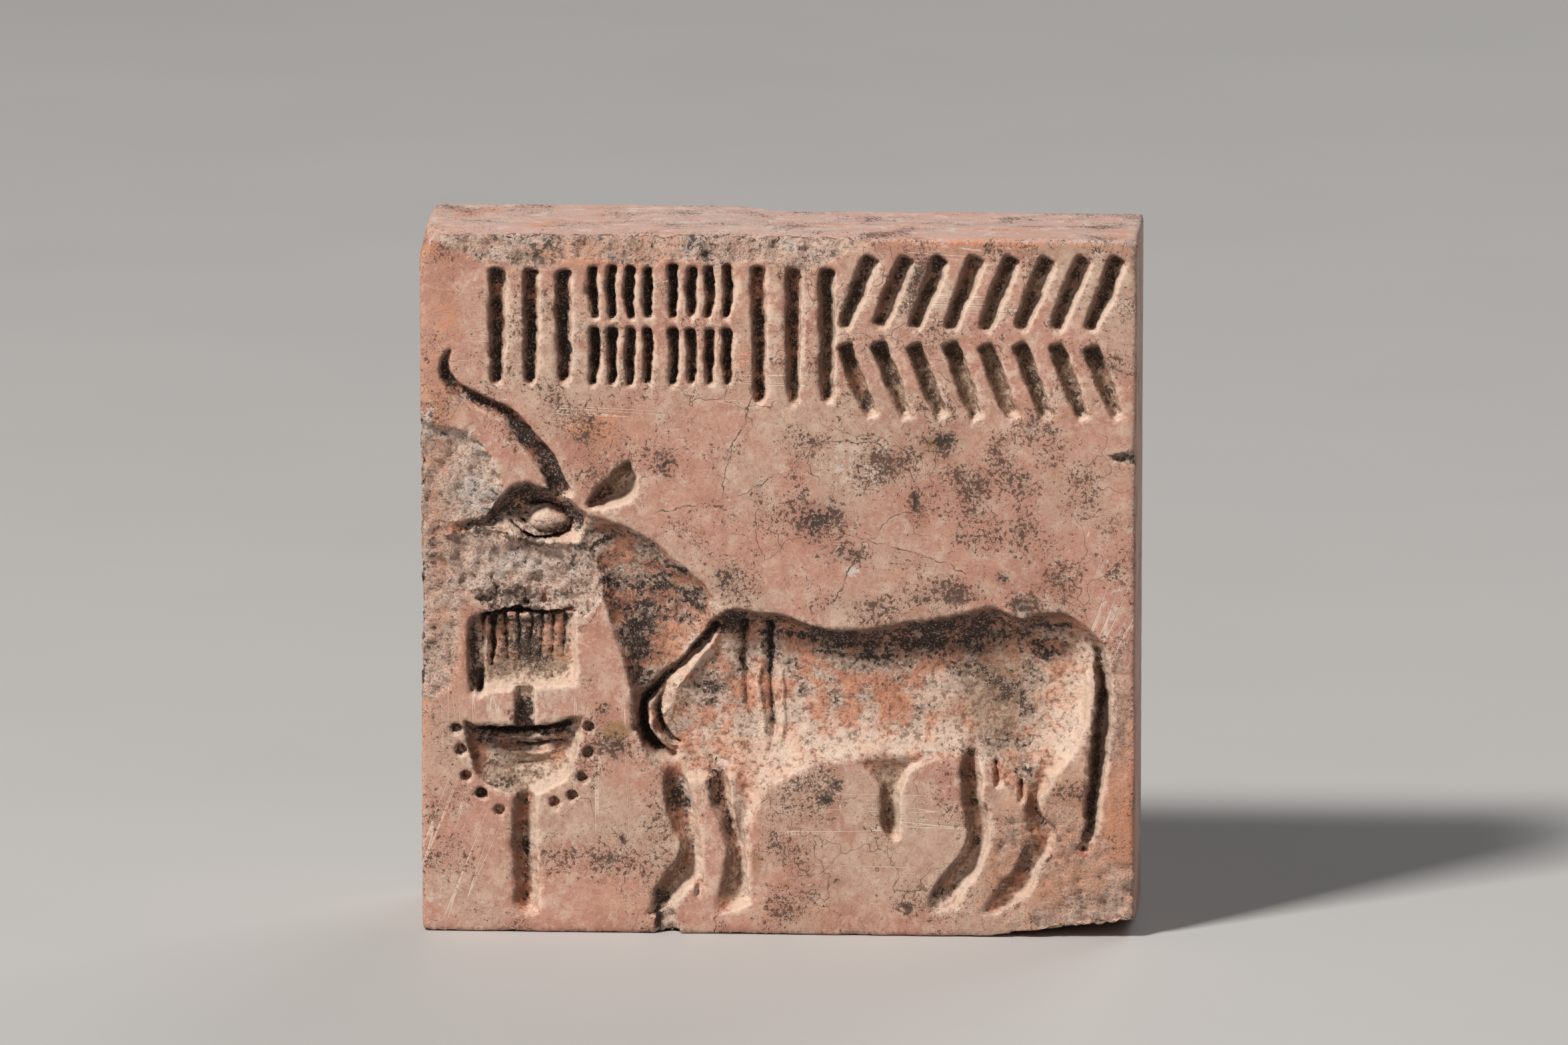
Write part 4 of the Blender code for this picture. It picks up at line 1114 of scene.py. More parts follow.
def read_map(values, x, z):
    """The map's value at each place, between its four nearest steps."""
    across = np.clip((x - MAP_X[0]) / MAP_STEP, 0, len(MAP_X) - 1.001)
    up = np.clip((z - MAP_Z[0]) / MAP_STEP, 0, len(MAP_Z) - 1.001)
    i, j = across.astype(int), up.astype(int)
    u, v = across - i, up - j
    lower = values[j, i] * (1 - u) + values[j, i + 1] * u
    upper = values[j + 1, i] * (1 - u) + values[j + 1, i + 1] * u
    return lower * (1 - v) + upper * v


print(f"map of {depth_map.shape[1]} by {depth_map.shape[0]} depths")

# %% [markdown]
# ## Stains, spots, worn places and painted highlights
#
# Fire, soil and touch have left patches that don't follow the carving. One list, of pale worn stone and
# painted highlights, lies on ridges, lower slopes and right walls that face the key light. Each is a soft
# oval blot at a named place, with its middle, its half width and half height, and how strong it is. The
# material breaks the blots up with noise, so a weak one becomes a few scattered flecks and a strong one a
# dense stain.

# %% Blots
BLOTS = {
    "stain": [
        (2.0, 21.5, 1.3, 0.9, 1.0), (1.9, 20.9, 0.4, 0.8, 0.9), (-5.6, 24.0, 0.45, 0.6, 1.0),
        (8.2, 25.4, 1.2, 0.5, 1.1), (6.9, 22.4, 0.25, 0.7, 1.0), (9.7, 22.6, 1.3, 1.6, 0.6),
        (12.5, 21.5, 3.6, 3.0, 0.38), (9.4, 20.4, 0.8, 0.7, 0.6), (-2.7, 18.2, 0.8, 0.7, 0.95),
        (11.3, 18.4, 0.35, 0.35, 1.2), (7.1, 17.3, 0.6, 0.3, 0.8), (12.2, 17.0, 0.6, 0.4, 0.9),
        (-8.8, 11.6, 0.45, 0.25, 1.1), (-8.1, 9.6, 0.8, 0.6, 0.8), (0.2, 4.2, 0.4, 0.5, 0.7),
        (3.1, 2.8, 0.5, 0.25, 1.0), (16.3, 1.8, 0.9, 0.6, 0.9), (15.2, 7.4, 0.5, 0.5, 0.8),
        (15.1, 3.7, 0.45, 0.3, 0.9), (10.9, 7.3, 0.3, 0.5, 0.9), (-7.8, 4.9, 0.2, 0.2, 1.3),
        (2.5, 7.0, 0.35, 0.3, 1.2), (2.95, 7.7, 0.25, 0.25, 1.2), (6.5, 1.45, 0.25, 0.2, 1.2),
        (6.8, 33.9, 0.7, 1.0, 0.9), (10.6, 35.2, 0.4, 0.25, 1.1), (3.5, 19.6, 1.4, 0.5, 0.7),
        (13.0, 0.9, 1.2, 0.3, 0.7), (-16.0, 16.9, 0.4, 0.4, 0.8), (-17.0, 20.4, 0.5, 0.4, 0.9),
        (-1.0, 22.6, 0.3, 0.7, 0.7), (5.0, 24.4, 0.9, 0.3, 0.6), (-5.0, 17.9, 1.0, 0.5, 0.6),
        (9.0, 17.6, 2.0, 0.7, 0.55), (14.3, 16.9, 1.4, 0.4, 0.5), (4.0, 17.0, 2.5, 0.5, 0.5),
    ],
    "soot": [
        (-2.4, 15.9, 2.4, 1.0, 0.9), (-0.4, 14.8, 1.4, 1.1, 0.7), (-1.75, 12.6, 0.45, 2.6, 0.3),
        (-0.35, 12.4, 0.35, 2.6, 0.3), (3.4, 15.0, 2.8, 0.8, 0.95), (6.2, 14.8, 2.2, 0.9, 0.95),
        (9.0, 15.2, 2.4, 1.1, 1.05), (11.4, 15.7, 2.2, 1.1, 0.95), (12.4, 13.2, 1.1, 1.7, 0.55),
        (10.7, 12.3, 0.9, 1.2, 0.5), (12.9, 11.0, 0.9, 1.2, 0.5), (11.4, 9.9, 0.9, 1.0, 0.6),
        (12.5, 8.6, 0.6, 1.2, 0.6), (3.2, 12.8, 1.0, 0.5, 0.5), (9.2, 9.4, 1.0, 0.4, 0.7),
        (14.2, 10.0, 0.5, 0.7, 0.4), (-6.4, 16.6, 1.7, 2.1, 1.0), (-5.8, 18.4, 1.2, 1.0, 0.8),
        (-6.9, 14.3, 1.2, 1.6, 0.95), (-4.7, 16.4, 1.6, 0.9, 0.9), (-3.3, 8.2, 0.4, 0.9, 0.9),
        (-5.3, 7.0, 0.5, 1.6, 0.7), (-13.0, 14.5, 2.0, 1.7, 1.1), (-12.9, 10.1, 2.6, 0.6, 0.9),
        (-12.8, 8.2, 2.0, 0.6, 0.5), (-13.9, 7.3, 0.9, 0.5, 0.9), (-12.8, 11.3, 0.5, 0.8, 0.9),
        (-3.0, 11.6, 1.2, 1.4, 0.35), (-6.5, 32.0, 3.4, 2.6, 0.75), (-12.4, 17.3, 2.4, 0.7, 0.7),
        (-9.8, 17.6, 1.2, 0.8, 0.6), (-9.5, 19.2, 1.4, 0.9, 0.5), (-12.5, 22.2, 1.6, 0.8, 0.7),
        (-15.0, 20.6, 1.6, 0.4, 0.8), (-1.8, 31.0, 1.6, 3.0, 0.4), (9.3, 8.0, 0.3, 1.4, 0.5),
        (-8.0, 31.0, 8.0, 4.0, 0.55), (-16.4, 28.7, 0.7, 1.0, 1.1), (-14.6, 27.2, 2.0, 0.9, 1.0),
        (-12.6, 25.4, 0.9, 0.9, 1.0), (-13.5, 26.4, 0.7, 0.7, 1.0), (-11.2, 23.4, 0.8, 1.3, 1.0),
        (-8.9, 22.3, 0.35, 0.4, 0.6), (-13.0, 16.0, 2.2, 0.6, 1.1), (-11.9, 20.0, 1.7, 0.35, 0.9),
        (-15.0, 12.8, 0.25, 0.7, 1.0), (-11.1, 20.75, 0.6, 0.35, 0.6), (-13.4, 21.2, 0.6, 0.6, 0.5),
        (-10.2, 20.8, 0.35, 0.7, 0.9), (-13.2, 20.2, 0.9, 0.4, 0.7), (-8.2, 17.2, 1.2, 2.4, 0.7),
        (9.5, 13.6, 1.6, 0.5, 0.95), (11.3, 12.6, 1.2, 0.6, 0.95), (12.6, 11.4, 0.7, 0.9, 0.9),
        (13.0, 14.7, 1.4, 0.9, 0.8), (7.0, 11.4, 1.6, 0.4, 0.5), (-3.2, 12.4, 1.0, 2.0, 0.55),
        (0.8, 13.2, 0.8, 1.2, 0.6), (-6.05, 0.8, 0.25, 1.0, 1.0), (-12.0, 21.95, 1.1, 0.2, 1.0),
        (12.4, 4.6, 0.25, 1.3, 0.5), (11.3, 2.6, 0.3, 1.0, 0.5), (6.0, 13.0, 4.0, 1.0, 0.25),
    ],
    "rust": [
        (-9.0, 25.8, 1.8, 1.0, 0.7), (-1.6, 29.3, 0.8, 1.0, 0.7), (5.4, 12.0, 2.4, 1.0, 0.9),
        (2.4, 14.0, 1.4, 0.6, 0.7), (14.6, 4.2, 3.4, 3.6, 1.0), (11.6, 3.4, 1.4, 2.6, 0.9),
        (17.3, 6.0, 1.2, 6.0, 0.9), (-17.3, 21.0, 1.0, 8.0, 1.0), (-16.6, 31.5, 0.8, 1.2, 0.6),
        (-16.6, 14.0, 1.4, 2.0, 0.5), (10.5, 35.4, 7.0, 0.25, 0.9), (-9.0, 34.9, 9.0, 0.8, 1.1),
        (-13.3, 20.0, 1.0, 0.6, 0.6), (-8.6, 19.0, 0.5, 1.6, 0.6), (-2.0, 6.0, 1.4, 2.0, 0.3),
        (1.0, 1.0, 3.0, 0.6, 0.4), (16.2, 9.0, 0.5, 4.0, 0.5), (-7.0, 1.5, 2.0, 1.0, 0.3),
        (11.9, 3.6, 0.9, 3.0, 0.7), (15.0, 1.5, 3.0, 1.4, 0.6),
    ],
    # pale worn stone and painted highlight: ridges, lower slopes and right walls that face the key light
    "pale_wear_and_highlight": [
        (-0.6, 9.6, 1.9, 1.1, 1.0), (4.6, 9.6, 3.2, 0.8, 0.9), (-1.6, 7.4, 1.0, 1.6, 0.7),
        (8.4, 12.3, 1.4, 0.9, 0.6), (14.5, 11.8, 1.0, 1.8, 0.9), (13.9, 9.8, 0.8, 0.9, 0.7),
        (15.2, 15.0, 0.9, 0.8, 0.7), (8.6, 10.4, 1.6, 0.8, 0.6), (-5.2, 8.9, 0.8, 0.4, 0.8),
        (-12.8, 9.84, 2.2, 0.1, 1.0), (-12.6, 9.03, 1.8, 0.1, 1.0), (-12.5, 8.14, 1.5, 0.1, 0.7),
        (-1.05, 12.0, 0.2, 3.0, 0.7), (0.2, 11.6, 0.2, 2.8, 0.6), (-4.1, 13.8, 0.6, 0.6, 0.7),
        (16.8, 13.0, 0.3, 4.0, 0.7), (-10.0, 13.6, 0.5, 2.6, 0.8), (-12.8, 12.4, 2.6, 0.4, 0.8),
        (-4.5, 5.6, 0.5, 3.0, 0.8), (-4.9, 2.4, 0.6, 0.9, 0.8), (-2.0, 4.6, 0.5, 3.0, 0.9),
        (10.3, 6.4, 0.5, 2.6, 1.0), (9.7, 3.2, 0.7, 1.4, 0.9), (13.5, 6.8, 0.6, 2.2, 0.9),
        (13.2, 4.2, 0.6, 1.6, 0.9), (12.0, 2.0, 0.7, 0.9, 0.9), (5.9, 6.6, 0.4, 1.8, 0.7),
        (-12.5, 4.4, 0.35, 3.0, 0.7), (-7.9, 23.1, 0.6, 0.6, 0.8), (11.9, 7.2, 0.4, 0.4, 1.0),
        (-5.25, 0.9, 0.2, 1.0, 1.0), (-12.1, 21.3, 0.4, 0.25, 0.6), (-14.8, 14.8, 0.2, 1.4, 1.0),
        (16.45, 10.5, 0.3, 4.5, 0.6),
    ],
    "chalk": [
        (-15.6, 24.6, 1.6, 1.2, 0.7), (-15.0, 22.6, 1.4, 1.0, 1.0), (-17.6, 26.2, 0.5, 1.0, 1.0),
        (-13.9, 18.9, 0.9, 0.9, 1.2), (-12.2, 18.4, 0.9, 0.8, 0.8), (-10.4, 18.4, 0.8, 0.7, 0.8),
        (-9.4, 17.0, 0.7, 0.6, 0.9), (-4.6, 34.8, 0.9, 0.6, 1.0), (-14.3, 34.8, 0.9, 0.3, 0.8),
        (-12.4, 35.3, 0.8, 0.3, 0.8), (-8.5, 34.9, 0.6, 0.5, 0.8), (0.7, 35.1, 1.4, 0.3, 0.8),
        (-17.9, 16.3, 0.3, 1.0, 1.0), (-15.1, 33.1, 0.5, 0.4, 0.6), (4.0, 24.2, 2.4, 1.4, 0.5),
        (3.9, 18.7, 0.5, 0.25, 1.0), (-8.0, 21.9, 0.7, 0.3, 0.6), (16.8, 18.0, 0.7, 2.4, 0.5),
        (1.2, 33.3, 0.6, 0.8, 0.5), (-17.2, 1.6, 0.8, 1.6, 0.4),
    ],
    "ochre": [
        (-8.1, 10.4, 0.8, 0.6, 1.2), (-1.1, 3.7, 0.4, 0.9, 0.9), (8.0, 25.2, 0.8, 0.3, 1.1),
        (3.1, 2.85, 0.5, 0.2, 0.9), (9.5, 8.4, 0.5, 0.8, 0.8), (5.7, 7.0, 0.6, 1.6, 0.9),
        (-7.9, 22.9, 0.5, 0.6, 1.0), (-5.2, 3.0, 0.8, 1.0, 0.5),
    ],
    "sandy": [
        (10.6, 29.0, 7.0, 5.0, 1.0), (3.2, 30.0, 1.6, 3.0, 0.7), (-12.6, 14.0, 2.6, 2.0, 0.4),
        (-12.6, 8.0, 2.4, 1.0, 0.8), (-10.0, 8.2, 1.0, 2.6, 1.0), (-8.0, 23.1, 1.0, 1.1, 1.0),
        (-5.2, 3.2, 1.0, 2.0, 0.6), (-2.2, 3.0, 0.8, 2.0, 0.6), (5.7, 7.0, 0.8, 2.0, 0.8),
        (9.4, 4.5, 1.0, 4.0, 0.5), (16.3, 9.0, 0.7, 6.0, 1.0), (-12.6, 13.3, 2.6, 0.9, 0.9),
        (10.8, 12.0, 2.4, 2.6, 0.7),
    ],
    "scuff_steep": [(-16.5, 3.6, 2.0, 3.6, 1.0), (16.6, 16.4, 1.2, 3.0, 1.0), (-14.4, 8.5, 1.2, 1.4, 0.6)],
    "scuff_level": [
        (4.5, 6.2, 5.0, 1.3, 1.0), (8.5, 33.0, 4.0, 2.2, 0.7), (-0.5, 28.6, 3.0, 1.4, 0.8),
        (-8.0, 26.8, 4.0, 0.8, 0.5), (4.0, 3.6, 4.0, 1.0, 0.5), (-15.0, 30.0, 1.6, 2.0, 0.4),
    ],
    "scuff_upright": [(-8.4, 8.0, 1.0, 4.2, 1.0), (-12.0, 11.5, 2.4, 0.7, 0.8), (-16.0, 11.0, 1.0, 2.0, 0.6)],
}
BLOT_FALL = 0.8
place_x = np.array([p.x for p in start_place]) / UNIT_X
place_z = np.array([p.z for p in start_place]) / UNIT_Z
near_front = np.array([p.y < FRONT + SQUEEZE for p in start_place])


def blots(rows):
    """The strongest of a list of soft oval blots, at every vertex near the face."""
    result = np.zeros(vert_count)
    for x, z, half_x, half_z, strength in rows:
        away = ((place_x - x) / half_x) ** 2 + ((place_z - z) / half_z) ** 2
        result = np.maximum(result, strength * np.exp(-BLOT_FALL * away))
    return result * near_front


masks = {name: blots(rows) for name, rows in BLOTS.items()}
print(f"{sum(len(rows) for rows in BLOTS.values())} blots in {len(BLOTS)} lists")

# %% [markdown]
# ## Cracks
#
# A few long hairline cracks are dark with dirt. Each vertex keeps how far it is from the nearest one, with a
# sign for the side of the crack, because a signed distance passes evenly through zero between two vertices
# and so draws a thin line on a mesh whose cells are much wider. A second mask says where a crack is near.

# %% Cracks
CRACKS = [
    [(-1.2, 27.6), (-1.7, 26.2), (-2.3, 24.6), (-2.9, 22.0)],
    [(4.4, 25.9), (5.3, 25.1), (6.3, 24.4), (6.8, 23.4), (7.05, 22.7), (6.85, 21.8)],
    [(6.85, 21.8), (5.8, 21.4), (4.9, 20.6), (3.8, 19.0), (3.0, 17.2)],
    [(-3.0, 1.15), (-3.15, 0.7), (-3.1, 0.0)],
    [(0.4, 23.4), (1.8, 25.0), (4.0, 25.3), (5.6, 25.2)],
    [(-5.9, 21.6), (-4.2, 22.0), (-2.9, 22.0), (-0.4, 23.4)],
    [(3.2, 20.6), (5.4, 20.0), (8.0, 19.3), (9.6, 18.6)],
    [(-16.4, 28.6), (-16.1, 27.4), (-15.2, 26.3)],
]
CRACK_REACH = 0.4
NO_CRACK = 9.0
CRACK_STEPS = 4


def signed_distance(path):
    """Distance in millimetres from a path to every vertex, less than nothing on one side of it."""
    nearest = np.full(vert_count, NO_CRACK)
    for (x0, z0), (x1, z1) in zip(path, path[1:]):
        run_x, run_z = x1 - x0, z1 - z0
        along = ((place_x - x0) * run_x + (place_z - z0) * run_z) / (run_x**2 + run_z**2)
        along = np.clip(along, 0.0, 1.0)
        off_x, off_z = place_x - x0 - along * run_x, place_z - z0 - along * run_z
        away = np.hypot(off_x, off_z) * np.sign(run_x * off_z - run_z * off_x)
        nearest = np.where(np.abs(away) < np.abs(nearest), away, nearest)
    return nearest


masks["crack"] = np.full(vert_count, NO_CRACK)
for path in CRACKS:
    away = signed_distance(smooth_rows(path, CRACK_STEPS))
    masks["crack"] = np.where(np.abs(away) < np.abs(masks["crack"]), away, masks["crack"])
masks["crack_near"] = np.clip(1.0 - np.abs(masks["crack"]) / CRACK_REACH, 0.0, 1.0) * near_front
print(f"{len(CRACKS)} cracks")

# %% [markdown]
# ## Where dirt settles, and where shade and highlights are painted
#
# The rest of the masks come from the carving itself. A place that lies deeper than the face above it and to
# its left, towards the key light, is under a wall: it gets painted shadow, and dirt stays there too. The
# slope of the depth says which way a wall faces: lower and right walls look up to the key light and get a
# painted highlight, and walls that face away get painted shade. The core of a cut, deeper than its
# surroundings, is darkened with dirt and painted shade.

# %% Masks from the depth
# UP_SHARE and LEFT_SHARE point towards the key light, high on the left, for the painted highlight and painted
# shade
UP_SHARE = 0.85
LEFT_SHARE = 0.65
SLOPE_BLUR = 0.14
WALL_BLUR = 0.2
LIGHTWARD_OFFSET = (-0.3, 0.55)
CORE_BLUR = 0.4
WIDE_BLUR = 0.7
here = np.maximum(carved_depth, broken_depth)
fall_z, fall_x = np.gradient(blurred(depth_map, SLOPE_BLUR), MAP_STEP)
facing_light = read_map(UP_SHARE * fall_z - LEFT_SHARE * fall_x, place_x, place_z)
# painted shadow and dirt: the depth is read a little up and to the left, towards the key light
lightward_depth = read_map(blurred(depth_map, WALL_BLUR), place_x + LIGHTWARD_OFFSET[0], place_z + LIGHTWARD_OFFSET[1])
core_depth = read_map(blurred(depth_map, CORE_BLUR), place_x, place_z)
wide_depth = read_map(blurred(depth_map, WIDE_BLUR), place_x, place_z)
# lit and dim say how much a wall turns towards or away from the key light: they drive a painted highlight and
# painted shade
masks.update({
    "sunk": here,
    "hollow": np.clip(here - wide_depth, 0.0, 1.0),
    # the core of a cut is darkened with dirt and painted shade in the material
    "core": np.clip(here - core_depth, 0.0, 1.0),
    "lit": np.clip(facing_light, 0.0, 2.0),
    "dim": np.clip(-facing_light, 0.0, 2.0),
    "lip": np.clip(wide_depth - here, 0.0, 1.0),
    # painted shadow and dirt under the upper walls, on the side away from the key light
    "shade_and_dirt_under_wall": np.clip(here - lightward_depth, 0.0, 1.5),
    "broken": np.clip(broken_depth / 0.15, 0.0, 1.0) * (broken_depth >= carved_depth * 0.9),
})
print({name: round(float(values.max()), 2) for name, values in masks.items()})

masks["top"] = np.array([p.z > FACE_HEIGHT - TINY for p in start_place], float)

# %% [markdown]
# ## Storing the masks
#
# The bmesh becomes the mesh of the seal, and each mask becomes a named attribute that the material can read.

# %% Finish the mesh
stone.to_mesh(seal.data)
stone.free()
for name, values in masks.items():
    values = values if name in BLOTS or name in ("crack", "top") else values * is_front
    layer = seal.data.attributes.new(name, "FLOAT", "POINT")
    layer.data.foreach_set("value", np.asarray(values, np.float32))
seal.data.polygons.foreach_set("use_smooth", [True] * len(seal.data.polygons))
seal.data.update()
print(f"{seal.data.name}: {len(seal.data.polygons)} faces, {len(seal.data.attributes)} attributes")

# %% [markdown]
# ## Fired stone
#
# The stone is soapstone that was fired to a hard pink skin. Its colour is built in layers, as it came about:
# the pink skin with paler and redder clouds, fine mottling, then flecks and veins, scratches, stains, dirt
# and painted shade in the hollows, painted highlights on walls that face the key light, and bright stone
# where the skin is worn off or broken away.

# %% Skin
PINK = (0.62, 0.33, 0.245)
ROSE = (0.46, 0.21, 0.145)
BEIGE = (0.60, 0.40, 0.30)
CREAM = (0.80, 0.62, 0.50)
PEACH = (0.88, 0.67, 0.53)
ORANGE = (0.70, 0.30, 0.175)
RUST = (0.60, 0.235, 0.105)
OCHRE = (0.34, 0.20, 0.08)
SAND = (0.48, 0.36, 0.24)
COCOA = (0.17, 0.085, 0.058)
BROWN = (0.15, 0.08, 0.052)
UMBER = (0.065, 0.036, 0.025)
# a near black for dirt and painted shade in the cuts
DIRT_AND_SHADE_BLACK = (0.018, 0.014, 0.012)
SLATE = (0.03, 0.025, 0.022)
CHALK = (0.74, 0.67, 0.615)
LAVENDER = (0.72, 0.55, 0.50)
BARK = (0.115, 0.062, 0.043)
CLAY = (0.44, 0.26, 0.19)
SHELL = (0.82, 0.64, 0.53)

recipe = Recipe("fired_stone")
mm = recipe.vector("MULTIPLY", recipe.node("ShaderNodeTexCoord", output="Object"), (1 / MM, 1 / MM, 1 / MM))
mark = {name: recipe.attribute(name) for name in masks}


def shifted(scale, reach):
    """Places pushed about by noise, so that a pattern on them has a frayed outline."""
    values = {"Vector": mm, "Scale": scale, "Detail": 3.0}
    push = recipe.node("ShaderNodeTexNoise", {}, values, output="Color")
    return recipe.vector("MULTIPLY_ADD", push, (reach, reach, reach), mm)


clouds = recipe.noise(mm, 0.13, 3.0)
blush = recipe.noise(mm, 0.31, 4.0)
lumps = recipe.noise(mm, 0.6, 4.0, 0.6)
mottle = recipe.noise(mm, 1.1, 5.0, 0.6)
grit = recipe.noise(mm, 3.8, 5.0, 0.7)
sand = recipe.noise(mm, 10.0, 3.0, 0.6)
colour = recipe.coats(PINK, [
    (clouds.rise(0.44, 0.60), BEIGE),
    (blush.rise(0.52, 0.66) * 0.55, ROSE),
    (mottle.rise(0.50, 0.66) * 0.6, CREAM),
    (mottle.rise(0.47, 0.36) * 0.3, ROSE),
    (grit.rise(0.50, 0.36) * 0.5, ROSE),
    (grit.rise(0.54, 0.68) * 0.6, CREAM),
    (sand.rise(0.45, 0.34) * 0.4, BROWN),
])
print(f"{len(recipe.tree.nodes)} nodes for the skin")

# %% [markdown]
# ## Flecks and veins
#
# Dark specks come from a fine noise that is only seen above a level, so they gather where a wide one lifts
# it. The edges of a bent Voronoi pattern make veins, and the random colours of another's cells make crumbs.

# %% Flecks and veins
frayed = shifted(2.2, 0.4)
cells = recipe.node("ShaderNodeTexVoronoi", {}, {"Vector": frayed, "Scale": 5.5}, output="Color")
crumb = recipe.node("ShaderNodeSeparateColor", {}, {"Color": cells}, output="Red")
thick = recipe.noise(mm, 0.4, 3.0)
speck = recipe.noise(frayed, 4.5, 4.0, 0.7)
specks = (speck + mark["stain"] * 0.175 + (thick - 0.5) * 0.6).rise(0.62, 0.66)
dust = (sand + (thick - 0.5) * 0.6 + mark["stain"] * 0.1).rise(0.60, 0.66)


def veins(scale, width, patch_level):
    """Thin dark lines between the cells of a bent Voronoi pattern, which fade in and out."""
    bent = shifted(scale * 2.6, 0.9 / scale)
    settings = {"feature": "DISTANCE_TO_EDGE"}
    edge = recipe.node("ShaderNodeTexVoronoi", settings, {"Vector": bent, "Scale": scale})
    patches = recipe.noise(mm, scale * 1.3, 2.0)
    return edge.rise(width, width * 0.25) * patches.rise(patch_level, patch_level + 0.12)


vein = veins(0.16, 0.006, 0.44).most(veins(0.42, 0.012, 0.52) * 0.7)
colour = recipe.mix(vein * 0.7, colour, BROWN)
print(f"{len(recipe.tree.nodes)} nodes with flecks and veins")

# %% [markdown]
# ## Scratches
#
# A noise that is drawn out in one direction passes through its middle value along thin lines. Those lines are
# the scratches, and the scuffed zones of the blots say where they show.

# %% Scratches
STRETCH = (18.0, 1.0, 0.55)


def scratches(tilt, shift, zone):
    """Thin pale lines at one tilt: where a noise drawn out along the tilt passes through its middle value."""
    turn = {"Vector": mm, "Rotation": (0.0, tilt, 0.0), "Scale": STRETCH, "Location": (shift, 0.0, shift)}
    drawn = recipe.node("ShaderNodeMapping", {"vector_type": "TEXTURE"}, turn)
    lines = (recipe.noise(drawn, 0.9, 1.0, 0.4) - 0.5).size().rise(0.012, 0.004)
    broken_up = recipe.noise(mm, 1.3, 2.0)
    return lines * (zone + (broken_up - 0.5) * 1.4).rise(0.18, 0.5)


scratch = scratches(0.05, 0.0, mark["scuff_level"])
scratch = scratch.most(scratches(-1.2, 3.0, mark["scuff_steep"]))
scratch = scratch.most(scratches(1.53, 7.0, mark["scuff_upright"]))
colour = recipe.mix(scratch * 0.85, colour, CREAM)
print(f"{len(recipe.tree.nodes)} nodes with scratches")

# %% [markdown]
# ## Stains
#
# The blots are broken up by noise and laid over the skin one after another. The specks and the cracks come
# next, and then the top of the seal, which is streaky and paler than the face.

# %% Stains
uneven = (mottle - 0.5) * 1.6 + (grit - 0.5) * 3.2
orange = (mark["rust"] * 0.7 + (crumb - 0.5) * 0.8 + (mottle - 0.5) * 2.0).rise(0.55, 0.85)
speck_colour = recipe.mix(mark["stain"].rise(0.4, 1.0), BARK, SLATE)
crack = (mark["crack"] + (mottle - 0.5) * 0.9).size().rise(0.035, 0.01) * mark["crack_near"].rise(0.1, 0.3)
crack = crack * (mottle + grit).rise(0.86, 1.06)
streaks = recipe.noise(recipe.vector("MULTIPLY", mm, (0.2, 0.5, 1.0)), 1.4, 4.0)
top = mark["top"]
colour = recipe.coats(colour, [
    ((mark["rust"] * 0.8 + uneven).rise(0.2, 0.8) * 0.75, RUST),
    (orange * 0.7, ORANGE),
    ((mark["chalk"] + uneven).rise(0.55, 0.9) * 0.75, CHALK),
    ((mark["ochre"] + uneven * 0.6).rise(0.5, 0.8) * 0.8, OCHRE),
    ((mark["stain"] + uneven * 0.9).rise(0.15, 0.9) * 0.3, BROWN),
    (dust * 0.75, BROWN),
    (specks * (0.9 - mark["hollow"].rise(0.0, 0.1) * 0.4), speck_colour),
    (crack * 0.85, UMBER),
    (top * (0.40 + streaks * 0.3), LAVENDER),
    (top * (streaks + (grit - 0.5) * 0.9).rise(0.50, 0.66) * 0.7, ORANGE),
    (top * (mottle + (grit - 0.5) * 0.7).rise(0.56, 0.66) * 0.5, CHALK),
    (top * (specks + dust).least(1.0) * 0.8, SLATE),
])
print(f"{len(recipe.tree.nodes)} nodes with stains")

# %% [markdown]
# ## Dirt, painted shade, wear and breaks
#
# Soil fills the cuts and soot lies under their upper walls. Painted shade darkens the cores of the cuts, the
# places under their upper walls and the walls that face away from the key light. Rims that face the light are
# rubbed pale and get a painted highlight. Broken places show the raw stone under the skin. The same masks
# then make the finest relief, as a bump.

# %% Dirt, wear and breaks
SPECULAR_LEVEL = 0.4
BUMP_STRENGTH = 0.7
BUMP_HEIGHT = 0.1 * MM
in_cut = mark["sunk"].rise(0.04, 0.3)
patchy = (lumps - 0.5) * 2.2 + (mottle - 0.5) * 1.8 + (grit - 0.5) * 2.3 + (crumb - 0.5) * 0.75
floor_skin = recipe.coats(ORANGE, [
    (lumps.rise(0.44, 0.56), CREAM),
    (grit.rise(0.50, 0.40) * 0.8, BROWN),
    ((mark["sandy"] + uneven * 0.4).rise(0.2, 0.7), recipe.mix(grit.rise(0.42, 0.56), BROWN, SAND)),
])
# painted shade: walls that face away from the key light are darkened
dim = (mark["dim"] + (streaks - 0.5) * 1.6).rise(0.3, 1.0)
# dirt and painted shade: soot and patchy soil, with darkening in the cores of the cuts and under their upper
# walls, less on walls that face the key light and on painted highlights
level = mark["soot"] * 0.8 + mark["core"] * 1.7 + mark["shade_and_dirt_under_wall"] * 0.4 + patchy + (streaks - 0.5) * 1.6
level = level - mark["lit"] * 0.4 - mark["pale_wear_and_highlight"] * 0.7
soil_and_shade = level.rise(0.1, 0.75) * in_cut
grime_and_shade = level.rise(0.5, 0.95) * in_cut
black = recipe.mix(sand.rise(0.42, 0.58), DIRT_AND_SHADE_BLACK, UMBER)
salt = sand.rise(0.58, 0.66) * (grime_and_shade + mark["soot"] * in_cut).least(1.0)
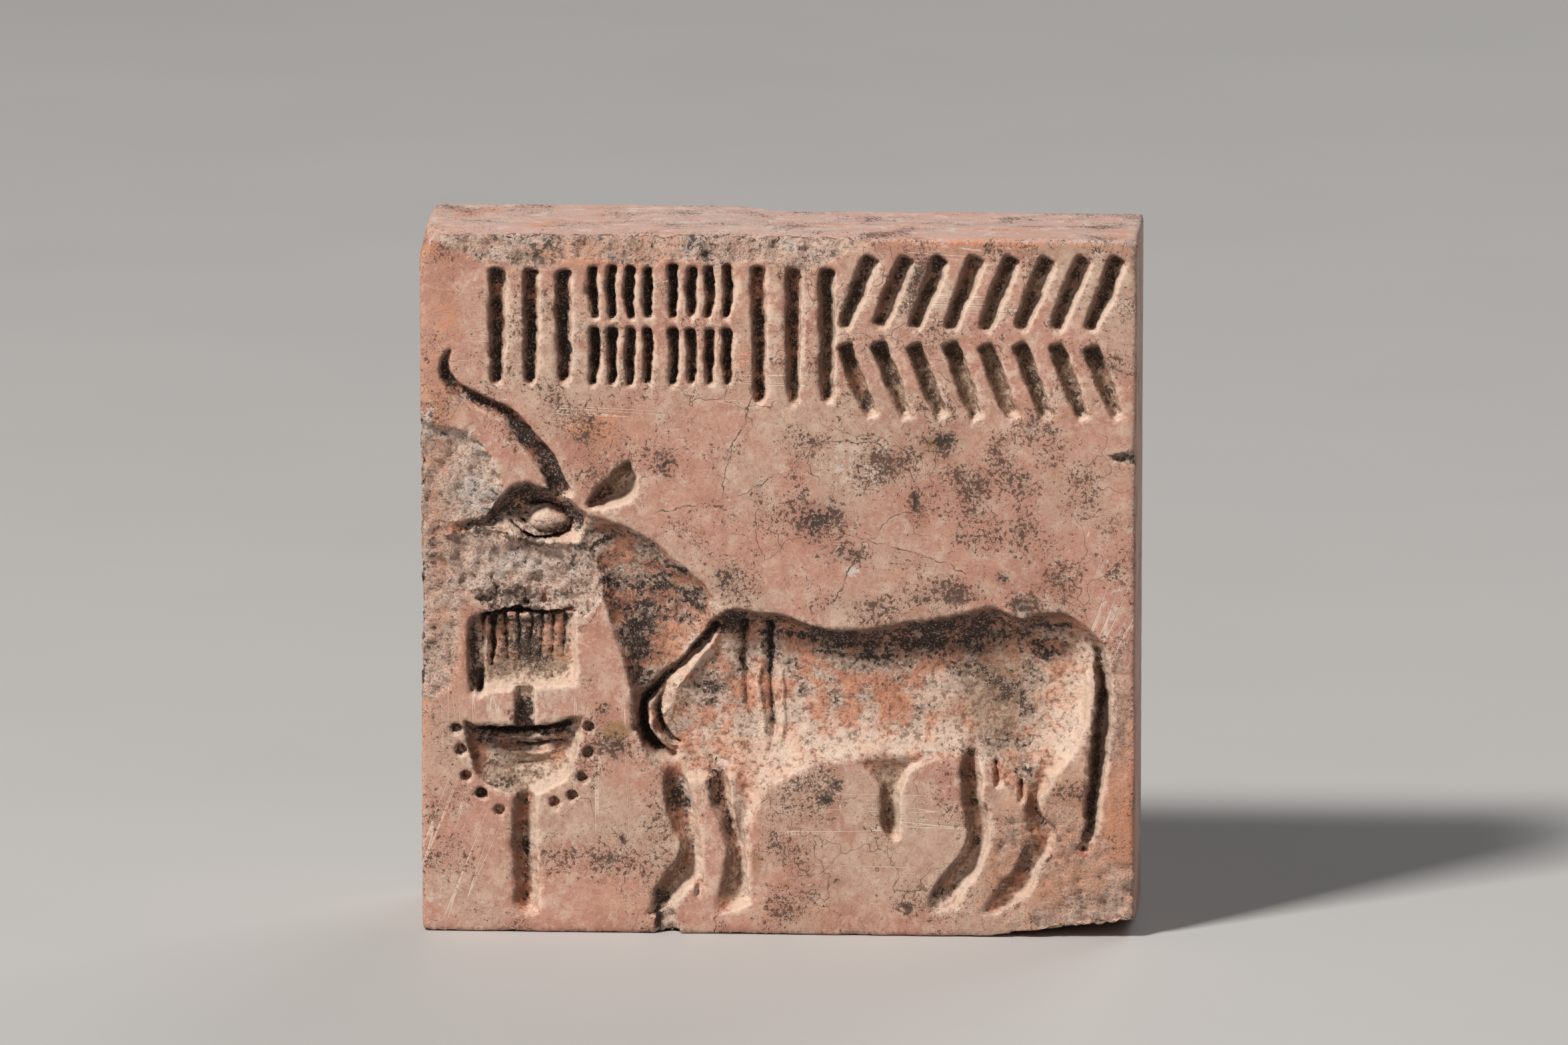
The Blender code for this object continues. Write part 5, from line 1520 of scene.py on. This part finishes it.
# pale wear on arrises, and painted highlight on walls that face the key light and on the highlight blots
rim_wear_and_highlight = mark["lit"] * 0.75 + mark["lip"] * 0.9 + mark["pale_wear_and_highlight"] * in_cut * 0.7 + uneven * 0.9
fresh = recipe.coats(CLAY, [
    (grit.rise(0.36, 0.56), SHELL),
    (sand.rise(0.46, 0.36) * 0.6, BROWN),
    ((mark["rust"] * 0.5 + uneven).rise(0.25, 0.7) * 0.7, ORANGE),
    ((mark["chalk"] * 0.6 + patchy).rise(0.3, 0.7) * 0.8, CHALK),
    ((mark["soot"] + patchy).rise(0.4, 0.75) * 0.85, UMBER),
])
colour = recipe.coats(colour, [
    (in_cut * 0.75, floor_skin),
    # painted shade on walls that face away from the key light
    (dim * 0.8, COCOA),
    (soil_and_shade * 0.6, recipe.mix(mark["sandy"] * 0.7, COCOA, SAND)),
    # dirt with painted shade in the cores of the cuts and under their upper walls
    (grime_and_shade * 0.93, recipe.mix(mark["sandy"] * 0.6, black, BROWN)),
    (salt * 0.6, CHALK),
    # pale wear with a painted highlight
    ((rim_wear_and_highlight - grime_and_shade).rise(0.2, 1.1) * 0.65, PEACH),
    (mark["broken"] * 0.9, fresh),
])
recipe.feed(recipe.shader.inputs["Base Color"], colour)

roughness = 0.46 + mottle * 0.16 + (grime_and_shade + mark["broken"]).least(1.0) * 0.3
recipe.feed(recipe.shader.inputs["Roughness"], roughness)
recipe.shader.inputs["Specular IOR Level"].default_value = SPECULAR_LEVEL
coarse = in_cut * 1.3 + mark["broken"] * 2.2 + mark["rust"] + 0.3
raised = grit * coarse + sand * coarse * 0.4 + crumb * (in_cut * 0.35 + mark["rust"] * 0.3)
relief = raised - scratch * 0.25 - (crack + vein * 0.5) * 0.6 - specks * 0.3
bump_values = {"Strength": BUMP_STRENGTH, "Distance": BUMP_HEIGHT, "Height": relief}
bump = recipe.node("ShaderNodeBump", {}, bump_values)
recipe.feed(recipe.shader.inputs["Normal"], bump)
seal.data.materials.clear()
seal.data.materials.append(recipe.material)
print(f"{len(recipe.tree.nodes)} nodes in the stone")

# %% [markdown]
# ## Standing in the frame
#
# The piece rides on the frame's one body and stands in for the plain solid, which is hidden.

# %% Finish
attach(seal, "root")
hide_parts("stone_seal")
